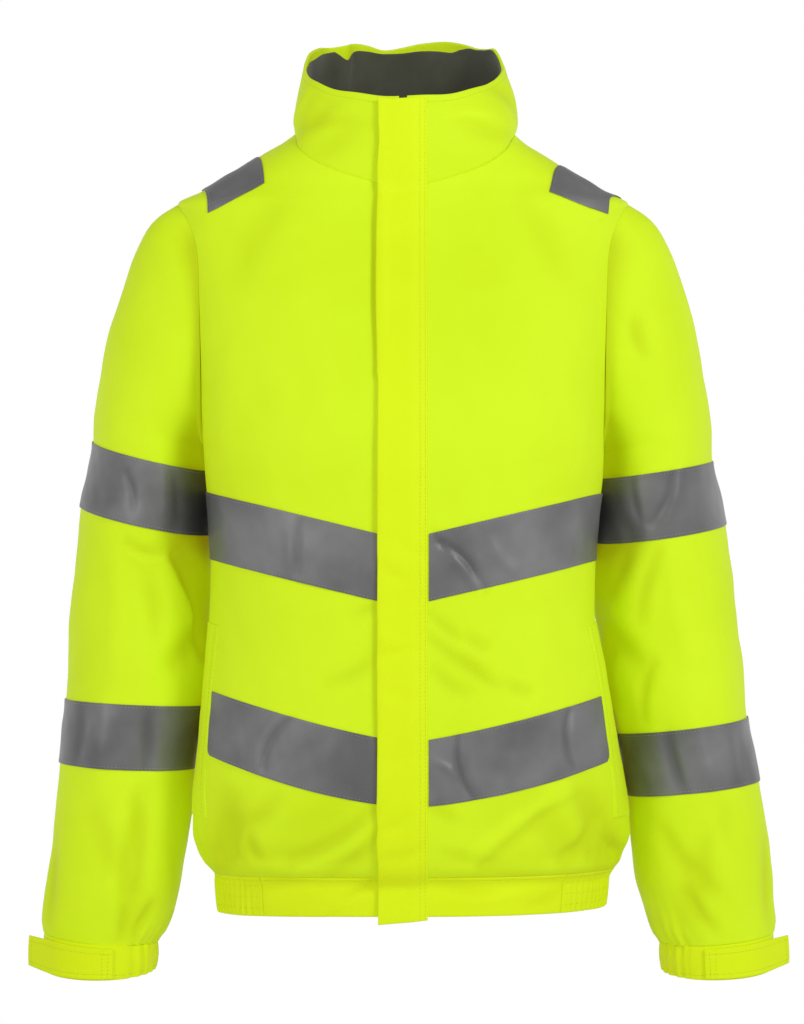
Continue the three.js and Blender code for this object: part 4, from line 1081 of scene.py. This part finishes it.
def front_tape(side, level):
    """The tape of a front. The lower corner of the low one, at the pocket, is round."""
    rows = tape_rows(level, TAPE_PITCH)
    shares = np.linspace(0, WELT_SHARE if level == "low" else 1.0, TAPE_COLUMNS)
    if level == "low":
        height = (rows - rows[0]) / (rows[-1] - rows[0]) * TAPE_WIDTH
        inside = np.maximum(TAPE_CORNER - height, 0)
        shorter = 1 - (TAPE_CORNER - np.sqrt(TAPE_CORNER**2 - inside**2)) / FRONT_ROUND
        places = [panel_place(side, "front", rows[k:k + 1], shares * shorter[k]) for k in range(len(rows))]
        angle, z = (np.concatenate(part) for part in zip(*places))
    else:
        angle, z = panel_place(side, "front", rows, shares)
    points, normals = torso_surface(angle, z)
    return tape_wall(points, normals, 31, fold_shift(TAPE_CREASES, points[..., 0], points[..., 2]))


def welt_wall(side):
    rows = spread(line_stops("welt_foot", "welt_top"), 2.5)
    shares = np.linspace(WELT_SHARE + 0.004, WELT_END, 24)
    points, normals = torso_surface(*panel_place(side, "front", rows, shares))
    return Wall(points, normals, WELT, LAID + 0.5, soft=2.0)


def bisect(low, high, steps, passed):
    """Where a test stops being true between low and high, by halving."""
    for _ in range(steps):
        middle = (low + high) / 2
        beyond = passed(middle)
        low, high = np.where(beyond, middle, low), np.where(beyond, high, middle)
    return low


def shoulder_z(side, x, forward):
    """Height of the shoulder at a place seen from above."""
    low, high = np.full(np.shape(x), TIP_Z - 40.0), np.full(np.shape(x), float(TORSO[-1][0]))
    return bisect(low, high, 30, lambda z: torso_side(side, z, forward)[..., 0] * side > np.abs(x))


def reach_for_height(side, x, z, end):
    """How far in front of (end 1) or behind (-1) the side seam the shoulder is this high."""
    low, high = np.full(x.shape, 15.0), np.full(x.shape, 90.0)
    return bisect(low, high, 24, lambda reach: shoulder_z(side, x, end * reach) > z)


def shoulder_tape(side):
    """The strip of tape over a shoulder, its ends straight as seen from the front."""
    inward = np.linspace(0, 1, 24)
    along = np.linspace(-1, 1, 60)[None, :]
    outer, inner = SHOULDER_TAPE[side]
    seam_x, end_x = (mix(a, b, inward) for a, b in zip(outer[:2], inner[:2]))
    reaches = {}
    for end in (-1, 1):
        heights = [shoulder_z(side, np.array([p[1]]), end * np.array([p[2]]))[0] for p in (outer, inner)]
        reaches[end] = reach_for_height(side, side * end_x, mix(*heights, inward), end)[:, None]
    x = side * mix(seam_x[:, None], end_x[:, None], np.abs(along))
    forward = np.where(along > 0, reaches[1], reaches[-1]) * along
    z = shoulder_z(side, x, forward)
    points = torso_side(side, z, forward)
    normals = torso_normal(side * angle_at_forward(z, forward), z)
    points = set_shoulder(points + normals * torso_shift(points)[..., None])
    return tape_wall(points, normals, 36)


ALL_ROWS = spread(line_stops("hem_seam", "neckline"), PITCH)
for side, side_name in SIDE_NAMES.items():
    add_wall(f"front_panel_{side_name}", front_wall(side), "shell", f"front_{side_name}", lined=True)
    for level in ("low", "up"):
        wall = front_tape(side, level)
        add_wall(f"front_tape_{level}_{side_name}", wall, "tape", f"tape_front_{level}_{side_name}")
        sew("tape", wall, TAPE_SEWN)
    wall = welt_wall(side)
    add_wall(f"welt_{side_name}", wall, "shell", f"pocket_welt_{side_name}")
    sew("shell", wall, columns=[5])
    wall = shoulder_tape(side)
    add_wall(f"shoulder_tape_{side_name}", wall, "tape", f"tape_shoulder_{side_name}")
    sew("tape", wall, TAPE_SEWN, TAPE_SEWN)

add_wall("back_panel", back_wall(), "shell", "back", lined=True)
for level in ("low", "up"):
    wall = tape_wall(*torso_surface(*back_place(tape_rows(level, 2.6))), 32)
    add_wall(f"back_tape_{level}", wall, "tape", f"tape_back_{level}")
    sew("tape", wall, TAPE_SEWN)


# Sleeves


def sleeve_point(side, row, angle):
    """A point of a sleeve section: 0 at the inner side, 90 at the front."""
    outward = -np.cos(np.radians(angle)) * row["half"]
    forward = np.sin(np.radians(angle)) * row["depth"]
    tilt = np.radians(row["tilt"])
    return np.stack(np.broadcast_arrays(
        side * (row["reach"] + outward * np.cos(tilt)),
        row["set"] - forward,
        row["z"] + outward * np.sin(tilt) - forward * row["dip"],
    ), -1)


def sleeve_section(side, z):
    return {"z": z, **section(SLEEVE_CURVES[side], z)}


def head_direction(side, angle):
    """The way a sleeve leaves the armhole at an angle round it."""
    sine, cosine = np.sin(np.radians(angle)), np.cos(np.radians(angle))
    top, foot = np.clip(-cosine, 0, 1), np.clip(cosine, 0, 1)
    outward = 0.34 + 0.64 * top - 0.2 * foot
    down = -(0.94 - 0.76 * top + 0.05 * foot)
    return unit(np.stack([side * outward, -0.12 * sine, down], -1))


def head_point(side, angle, t):
    """The sleeve head: a curve from the armhole to the first full section."""
    z, forward = armhole_place(angle)
    seam = torso_side(side, z, forward)
    middle = np.stack([seam[..., 0], np.zeros_like(z), np.full_like(z, ARMHOLE_MIDDLE)], -1)
    seam = seam + unit(middle - seam) * SEAM
    seam[..., 0] += side * SEAM
    target, below = (sleeve_point(side, sleeve_section(side, row[0]), angle) for row in SLEEVES[side][:2])
    span = np.linalg.norm(target - seam, axis=-1, keepdims=True)
    way = head_direction(side, angle)
    normal = torso_normal(side * angle_at_forward(z, forward), z)
    flat = unit(way - normal * np.sum(way * normal, -1, keepdims=True))
    from_pit = 180 - np.abs(180 - angle)
    turned = unit(mix(way, flat, 0.4 * smooth((from_pit - 25) / 55)[..., None]))
    arrive = unit(below - target) * HEAD_ARRIVE * span
    early, late = (cubic(seam, leave * HEAD_LEAVE * span, target, arrive, t) for leave in (turned, way))
    return mix(early, late, smooth(t / HEAD_FLUSH))


def clear_of_torso(side, points, distance):
    reach = side * torso_side(side, points[..., 2], -points[..., 1])[..., 0] + distance
    points = points.copy()
    points[..., 0] = side * np.maximum(side * points[..., 0], reach)
    return points


def cuff_gather(angle, distance, seed):
    """Pleats that rise from the gathered part of a cuff."""
    turn = np.mod(angle, 360)
    from_middle = np.abs(np.mod(turn - 305 + 180, 360) - 180)
    gathered = smooth((118 - from_middle) / 14)
    fade = np.exp(-np.maximum(distance, 0) / PLEAT_REACH)
    return CUFF_PLEAT * 0.5 * pleats(turn, (13, 19, 27, 34), seed) * gathered * fade


def hollow(distance, angles, z):
    """The hollow in a sleeve beside the body, from 0 to 1: it sets the hollow's depth, and the painted shade there.
    """
    turn = np.abs(np.mod(angles + 180, 360) - 180)[None, :]
    beside_seam = bell(distance / 17) * smooth((turn - 30) / 25) * smooth((150 - turn) / 25)
    beside_body = bell((turn - 46) / 15) * smooth((z + 345) / 70) * smooth((-150 - z) / 40)
    return np.maximum(beside_seam, beside_body)


def sleeve_surface(side, heads, heights, angles):
    """Points and outward normals of a sleeve: head rings by share, then by height."""
    rings = [head_point(side, angles, share) for share in heads]
    rings += [sleeve_point(side, sleeve_section(side, z), angles) for z in heights]
    base = np.array(rings)
    shares = np.concatenate([heads, np.ones(len(heights))])
    normals = facing(base, True, -side)
    z = base[..., 2]
    from_body = 180 - np.abs(180 - angles)[None, :]
    folds = SLEEVE_FOLDS["both"] + SLEEVE_FOLDS[side] + SLEEVE_TAPE_CREASES[side]
    shift = fold_shift(folds, angles[None, :], z)
    shift = shift * mix(0.6, FOLD_SCALE, smooth((from_body - 15) / 45))
    shift = shift + 0.8 * ripple(base, 80, 13 + side) + 0.22 * ripple(base, 30, 15 + side)
    gather = cuff_gather(angles[None, :], z - SLEEVES[side][-2][0], 17 + side)
    shift = shift * smooth(shares * 3)[:, None] + gather
    if len(heads):
        distance = run_along(base)
        shift = shift - HOLLOW_DEPTH * hollow(distance, angles, z) * smooth(distance / 14)
    clear = np.interp(shares, HEAD_SHARES, HEAD_CLEARS)[:, None]
    pressed = set_shoulder(clear_of_torso(side, base + normals * shift[..., None], clear))
    return pressed, facing(pressed, True, -side)


def sleeve_wall(side):
    angles = np.arange(0, 360, 3.0)
    heads = np.linspace(0, 1, 34)[:-1]
    heights = np.linspace(SLEEVES[side][0][0], SLEEVES[side][-2][0], 104)
    points, normals = sleeve_surface(side, heads, heights, angles)
    # Painted shade in the sleeve's folds, and stronger in the hollow beside the body.
    folds = fold_shift(SLEEVE_FOLDS["both"] + SLEEVE_FOLDS[side], angles[None, :], points[..., 2], True)
    painted_shade = np.clip(-FOLD_SCALE * folds / FULL_SHADE_DEPTH, 0, 1)
    painted_shade = np.maximum(painted_shade, 1.6 * hollow(run_along(points), angles, points[..., 2]))
    return Wall(points, normals, SHELL, closed=True, soft=1.6, tuck=("foot",), painted_shade=painted_shade, edge=SEWN_EDGE)


def sleeve_tape(side, level):
    angles = np.arange(0, 360, 2.0)
    points, normals = sleeve_surface(side, [], np.linspace(*SLEEVE_TAPES[side][level], 26), angles)
    creases = fold_shift(SLEEVE_TAPE_CREASES[side], angles[None, :], points[..., 2])
    return tape_wall(points, normals, 33 + side, creases, closed=True)


for side, side_name in SIDE_NAMES.items():
    add_wall(f"sleeve_shell_{side_name}", sleeve_wall(side), "shell", f"sleeve_{side_name}", lined=True)
    for level in ("up", "low"):
        wall = sleeve_tape(side, level)
        add_wall(f"sleeve_tape_{level}_{side_name}", wall, "tape", f"tape_sleeve_{level}_{side_name}")
        sew("tape", wall, TAPE_SEWN)


# Cuffs and their tabs


def widen(ring, ease):
    return {**ring, "half": ring["half"] + ease, "depth": ring["depth"] + ease}


def cuff_ring(side, share, ease):
    """A section of a cuff, from its foot (0) to its seam (1)."""
    seam, foot = SLEEVES[side][-2:]
    ring = {key: mix(b, a, share) for key, a, b in zip(("z", *SLEEVE_KEYS), seam, foot)}
    ring["z"] = ring["z"] - SEAM * share
    return widen(ring, ease)


def cuff_wall(side):
    plain_from, plain_to = CUFF_PLAIN
    angles = np.concatenate([
        np.linspace(plain_from, plain_to, 44)[:-1],
        np.linspace(plain_to, 360 + plain_from, 8 * CUFF_GATHERS + 1)[:-1],
    ])
    gathered = smooth((angles - plain_to) / 10) * smooth((360 + plain_from - angles) / 10)
    draw = np.random.default_rng(41 + side)
    drift = np.cumsum(draw.normal(0, 0.05, len(angles)))
    turns = (angles - plain_to) / ((360 + plain_from - plain_to) / CUFF_GATHERS)
    ribs = 0.8 * (np.cos((turns + drift) * 2 * math.pi) - 1) * gathered
    uneven = 0.35 * np.sin(np.radians(angles) * 9 + 2)
    points, normals = [], []
    for share in np.linspace(0, 1, 15):
        ring = cuff_ring(side, share, CUFF_FULLNESS * math.sin(math.pi * share))
        pull = ribs * (0.75 + 0.25 * math.cos(2 * math.pi * share))
        pull = pull + uneven * gathered * math.sin(math.pi * share)
        points.append(sleeve_point(side, widen(ring, pull), angles))
        normals.append(unit(sleeve_point(side, widen(ring, 1), angles) - sleeve_point(side, ring, angles)))
    return Wall(points, normals, BAND, closed=True, soft=2.0, tuck=("head",))


def tab_wall(side):
    """The tab follows the cuff from its front, then runs straight on."""
    wrap = np.linspace(*TAB_WRAP, 26)
    free = np.linspace(0, 1, 13)[1:]
    foot, top = TAB_SHARES
    points, normals = [], []
    for share in np.linspace(foot, top, 13):
        level = (share - foot) / (top - foot)
        ring = cuff_ring(side, share, CUFF_FULLNESS + LAID)
        row = sleeve_point(side, ring, wrap)
        normal = unit(sleeve_point(side, widen(ring, 1), wrap) - row)
        out = row[-1] + unit(row[-1] - row[-2]) * TAB_FREE * free[:, None]
        out[:, 2] += TAB_TAPER * (1 - 2 * level) * free
        out += normal[-1] * (0.9 * np.sin(free * 2.6) * math.sin(math.pi * level + 0.4))[:, None]
        points.append(np.concatenate([row, out]))
        normals.append(np.concatenate([normal, np.repeat(normal[-1:], len(free), 0)]))
    return Wall(points, normals, FLAP, FLAP, soft=1.4)


for side, side_name in SIDE_NAMES.items():
    wall = cuff_wall(side)
    add_wall(f"cuff_band_{side_name}", wall, "trim", f"cuff_{side_name}", lined=True)
    sew("shell", wall, [4])
    wall = tab_wall(side)
    add_wall(f"tab_{side_name}", wall, "trim", f"cuff_tab_{side_name}")
    sew("shell", wall, [4, -5], [4, 6, -5])


# Collar and its lining


def collar_folds(angle, share):
    """Soft folds in the collar, deepest by the notch."""
    notch = -6.0 * bell((angle - 217) / 5) * smooth(share * 1.3)
    beside = 2.5 * bell((angle - 229) / 8) * smooth(share * 1.2)
    return notch + beside + 1.5 * fold_shift(COLLAR_FOLDS, angle, share * COLLAR_HEIGHT)


def collar_point(angle, share):
    """A point of the collar: from the neckline (0) to the top edge (1)."""
    angle = np.mod(angle, 360)
    share = np.full_like(angle, share)
    sine, cosine = np.sin(np.radians(angle)), np.cos(np.radians(angle))
    top = COLLAR_TOP
    rim = RIM_CURVE(angle) + 0.5 * np.sin(np.radians(angle) * 11)
    edge = np.stack([
        top["centre"] + top["half"] * powered(sine, 2 / COLLAR_POWER),
        -np.where(cosine > 0, top["front"], top["back"]) * powered(cosine, 2 / COLLAR_POWER),
        mix(top["front_z"], top["back_z"], (1 - cosine) / 2) + rim,
    ], -1)
    z = height_round(LINES[LINE_AT["neckline"]], angle)
    foot = torso_point(angle, z)
    foot = foot + torso_normal(angle, z) * torso_shift(foot)[..., None]
    foot[..., 2] += SEAM
    ahead = np.where(cosine > 0, COLLAR_SWELL["front"], COLLAR_SWELL["back"])
    aside = np.where(sine < 0, COLLAR_SWELL["right"], COLLAR_SWELL["left"])
    swell = mix(ahead, aside, np.abs(sine)) * np.sin(np.pi * share**0.8)
    away = np.stack([sine, -cosine, np.zeros_like(sine)], -1)
    return foot + (edge - foot) * share[..., None] + away * (swell + collar_folds(angle, share))[..., None]


def collar_angle(x, share):
    """The angle near the centre front at which the collar is this far to the left."""
    trial = np.linspace(-60, 60, 481)
    return float(np.interp(x, collar_point(trial, share)[:, 0], trial))


def collar_grid():
    rows = []
    for share in np.linspace(0, 1, 24):
        start, end = collar_angle(PANEL_START, share), 360 + collar_angle(-PANEL_START, share)
        rows.append(collar_point(np.linspace(start, end, COLLAR_COLUMNS), share))
    return np.array(rows)


def shortened(points, drop):
    """A grid of points, each column of which stops short of its last row by a drop."""
    last = len(points) - 1
    kept = (1 - drop / lengths(points, 0).sum(0))[None, :] * np.linspace(0, 1, last + 1)[:, None]
    at = kept * last
    low = np.clip(np.floor(at).astype(int), 0, last - 1)
    column = np.arange(points.shape[1])[None, :]
    return mix(points[low, column], points[low + 1, column], (at - low)[..., None])


around = np.linspace(0, 360, COLLAR_COLUMNS)
points = collar_grid()
up = np.linspace(0, COLLAR_HEIGHT, len(points))[:, None]
# Painted shade: the whole collar a little darker, and darker still in its folds.
painted_shade = np.clip(0.2 - 0.8 * fold_shift(COLLAR_FOLDS, around[None, :], up) / FULL_SHADE_DEPTH, 0, 1)
wall = Wall(points, facing(points), SHELL, soft=2.4, tuck=("foot",), painted_shade=painted_shade, edge=SEWN_EDGE)
add_wall("collar_shell", wall, "shell", "collar")
sew("shell", wall, [-5])
points = shortened(points, DROP_CURVE(around))
wall = Wall(points, facing(points), KNIT, -SHELL - SEAM)
add_wall("collar_inside", wall, "lining", "collar_lining")


# Hem band: plain fronts and an elastic part round the sides and back


def hem_wall(start, end, column_count, gathered):
    angles = np.linspace(start, end, column_count)
    ends = smooth((angles - start + 1) / 16) * smooth((end - angles + 1) / 16)
    draw = np.random.default_rng(51)
    drift = np.cumsum(draw.normal(0, 0.035, column_count))
    turns = (angles - start) / (end - start) * HEM_GATHERS
    ribs = np.cos((turns + drift) * 2 * math.pi) * (0.75 + 0.35 * np.sin(turns * 0.7 + 1)) * ends
    top = height_round(LINES[0], np.mod(angles, 360)) - SEAM
    points = []
    for level in np.linspace(0, 1, 15):
        base = torso_point(angles, top - HEM_HEIGHT * (1 - level))
        belly = math.sin(math.pi * level)
        lean = 0.35 * np.sin(np.radians(angles) * 17 + 3 * level)
        if gathered:
            below_seam = mix(0.2, 1, smooth((1 - level) * 5))
            waist = 0.8 + 0.2 * math.cos(2 * math.pi * level)
            pull = ribs * below_seam * waist + belly + lean
        else:
            pull = belly + 0.3 * lean
        points.append(base + unit(base * [1, 1, 0]) * pull[:, None])
    points = np.array(points)
    folds = fold_shift(HEM_FOLDS, points[..., 0], points[..., 2]) * (points[..., 1] < 0)
    tuck = ("head", "sides") if gathered else ("head",)
    # painted shade in the hem band's folds
    return Wall(points, facing(points), BAND, folds, soft=1.6, tuck=tuck, painted_shade=np.clip(-folds / 2, 0, 1))


def hem_angle(x):
    return float(angle_at_x(HEM_FRONT - HEM_HEIGHT / 2, x))


for name, cad_node, start, end in (
    ("left", "hem_front_left", hem_angle(PANEL_START), HEM_GATHER_ANGLE - SEAM),
    ("right", "hem_front_right", 360 - HEM_GATHER_ANGLE + SEAM, 360 + hem_angle(-PANEL_START)),
    ("elastic", "hem_elastic", HEM_GATHER_ANGLE, 360 - HEM_GATHER_ANGLE),
):
    gathered = name == "elastic"
    wall = hem_wall(start, end, 8 * HEM_GATHERS + 1 if gathered else 34, gathered)
    add_wall(f"hem_band_{name}", wall, "trim", cad_node, lined=True)
    sew("shell", wall, [-5, 5, 9, 13] if gathered else [-5])


# Front closure: the zip between the fronts, and the flap over it


def front_strip(foot_z, xs, pitch, top_drop):
    """A grid along the centre front, over torso and collar."""
    rows = []
    for z in np.arange(foot_z, LINES[-1]["front"], pitch):
        level = np.full_like(xs, z)
        rows.append(torso_surface(angle_at_x(level, xs), level)[0])
    for share in np.linspace(0, 1, 22)[1:]:
        rows.append(collar_point(np.array([collar_angle(x, share) for x in xs]), share))
    points = np.array(rows)
    points[-1] += unit(points[-2] - points[-1]) * min(top_drop, 0.8 * lengths(points, 0)[-1].min())
    return points


xs = np.linspace(-FLAP_WIDTH / 2, FLAP_WIDTH / 2, 20)
points = front_strip(HEM_FRONT - HEM_HEIGHT - 1, xs, 3.0, 2)
points[0, :, 2] -= np.linspace(4.8, 1.6, len(xs))
free = smooth(1 - (xs + FLAP_WIDTH / 2) / 10)[None, :]
sewn = smooth((xs - FLAP_WIDTH / 2 + 13) / 13)[None, :]
height = points[..., 2]
flare = 0.8 + 1.6 * bell((height + 60) / 75) + 0.35 * np.sin(height / 23) + 0.25 * np.sin(height / 9.5 + 1)
lift = FLAP_GAP + FLAP + free * flare - sewn * FLAP_SEWN_DROP
lift = lift + 1.5 * fold_shift(FLAP_WRINKLES, points[..., 0], height)
wall = Wall(points, facing(points), FLAP, lift)
add_wall("flap", wall, "trim", "storm_flap")
sew("shell", wall, columns=[-4, -6])

xs = np.linspace(-ZIP_WIDTH / 2, ZIP_WIDTH / 2, 5)
zip_points = front_strip(HEM_FRONT - HEM_HEIGHT + 2, xs, 4.0, 3)
zip_normals = facing(zip_points)
add_wall("zip_tape", Wall(zip_points, zip_normals, 1.2, -0.4, soft=0.6), "zip", "zip")


def at_run(field, run, s):
    """A line's points or normals at lengths along it."""
    return np.stack([np.interp(s, run, field[:, c]) for c in range(3)], -1)


def zip_teeth(line, normals):
    """Moulded teeth in a chain along the zip tape, alternately from each side."""
    run = run_along(line)
    corners = np.array([(a, b, c) for a in (-1, 1) for b in (-1, 1) for c in (-1, 1)], float)
    corners = corners * TOOTH_SIZES / 2
    sides = np.array([(0, 1, 3, 2), (4, 6, 7, 5), (0, 4, 5, 1), (2, 3, 7, 6), (0, 2, 6, 4), (1, 5, 7, 3)])
    verts, faces = [], []
    for k, s in enumerate(np.arange(2, run[-1] - 3, TOOTH_PITCH)):
        centre = at_run(line, run, s)
        out = unit(at_run(normals, run, s))
        way = unit(at_run(line, run, s + 1) - centre)
        across = np.cross(way, out)
        centre = centre + across * (TOOTH_SHIFT if k % 2 else -TOOTH_SHIFT) + out * 0.1
        verts.append(centre + corners[:, :1] * way + corners[:, 1:2] * across + corners[:, 2:] * out)
        faces.append(sides + 8 * k)
    return np.concatenate(verts), np.concatenate(faces)


keep(make_mesh("zip_teeth", *zip_teeth(zip_points[:, 2], zip_normals[:, 2]), [ZIP_PLASTIC]), "zip")


# Sewing


def stitch_mesh(lines):
    """Threads lying on the cloth: one small four-sided lozenge for each stitch."""
    upper, under = [(0, 1, 4), (1, 2, 4), (2, 3, 4), (3, 0, 4)], [(1, 0, 5), (2, 1, 5), (3, 2, 5), (0, 3, 5)]
    pattern = np.array(upper + under)
    stitches = []
    for points, normals in lines:
        run = run_along(points)
        starts = np.arange(STITCH_GAP, run[-1] - STITCH, STITCH + STITCH_GAP)
        a, b = at_run(points, run, starts), at_run(points, run, starts + STITCH)
        out = unit(at_run(normals, run, starts + STITCH / 2))
        across = np.cross(unit(b - a), out) * THREAD_WIDTH / 2
        middle = (a + b) / 2
        top, foot = middle + out * THREAD_HEIGHT, middle - out * THREAD_HEIGHT * 0.4
        stitches.append(np.stack([a, middle + across, b, middle - across, top, foot], 1))
    verts = np.concatenate(stitches)
    faces = np.arange(len(verts))[:, None, None] * 6 + pattern
    return verts.reshape(-1, 3), faces.reshape(-1, 3)


keep(make_mesh("tape_stitches", *stitch_mesh(stitch_lines["tape"]), [GREY_THREAD]), "reflective_tape")
keep(make_mesh("shell_stitches", *stitch_mesh(stitch_lines["shell"]), [YELLOW_THREAD]), "hi_vis_yellow")


# Floor, light and camera

FLOOR_Z = -1.0
FLOOR_RADIUS = 2.1
turns = np.linspace(0, 2 * math.pi, 97)[:-1]
mesh = bpy.data.meshes.new("floor")
rim = [(FLOOR_RADIUS * math.cos(t), FLOOR_RADIUS * math.sin(t), FLOOR_Z) for t in turns]
mesh.from_pydata(rim, [], [list(range(len(rim)))])
floor = bpy.data.objects.new("floor", mesh)
bpy.context.scene.collection.objects.link(floor)
floor_material, _, floor_shader, _, _ = new_material("floor", 0.9, 0.1)
floor_shader.inputs["Base Color"].default_value = (0.82, 0.82, 0.82, 1)
floor.data.materials.append(floor_material)

world = bpy.data.worlds.new("studio")
bpy.context.scene.world = world
world.use_nodes = True
tree = world.node_tree
direction = node(tree, "ShaderNodeSeparateXYZ")
tree.links.new(node(tree, "ShaderNodeTexCoord").outputs["Generated"], direction.inputs[0])
rise = calculate(tree, "MULTIPLY_ADD", direction.outputs["Z"], 0.5, 0.5)
grey, white = (0.3, 0.3, 0.3), (1, 1, 1)
sky = ramp(tree, rise, [(0.2, grey), (0.41, white), (0.6, white), (0.7, (0.45, 0.45, 0.45)), (1, grey)])
tree.links.new(sky, tree.nodes["Background"].inputs["Color"])
tree.nodes["Background"].inputs["Strength"].default_value = 1.0


def area_light(name, place, target, size, power):
    data = bpy.data.lights.new(name, "AREA")
    data.shape = "DISK"
    data.size = size
    data.energy = power
    light = bpy.data.objects.new(name, data)
    way = np.array(target) - np.array(place)
    light.location = place
    light.rotation_euler = Vector(way).to_track_quat("-Z", "Y").to_euler()
    bpy.context.scene.collection.objects.link(light)


area_light("key", (1.9, -2.4, 1.3), (0, 0, -0.3), 1.0, 40)
area_light("fill", (-1.9, -2.6, 0.6), (0, 0, -0.3), 1.4, 19)

camera = bpy.data.objects.new("camera", bpy.data.cameras.new("camera"))
bpy.context.scene.collection.objects.link(camera)
camera.location = (-0.0008, -3.0, -0.2776)
camera.rotation_euler = (math.radians(90), 0, 0)
camera.data.sensor_width = 36
camera.data.lens = 131.84
camera.data.clip_start = 0.05
camera.data.clip_end = 200
bpy.context.scene.camera = camera
bpy.context.scene.view_settings.view_transform = "Standard"
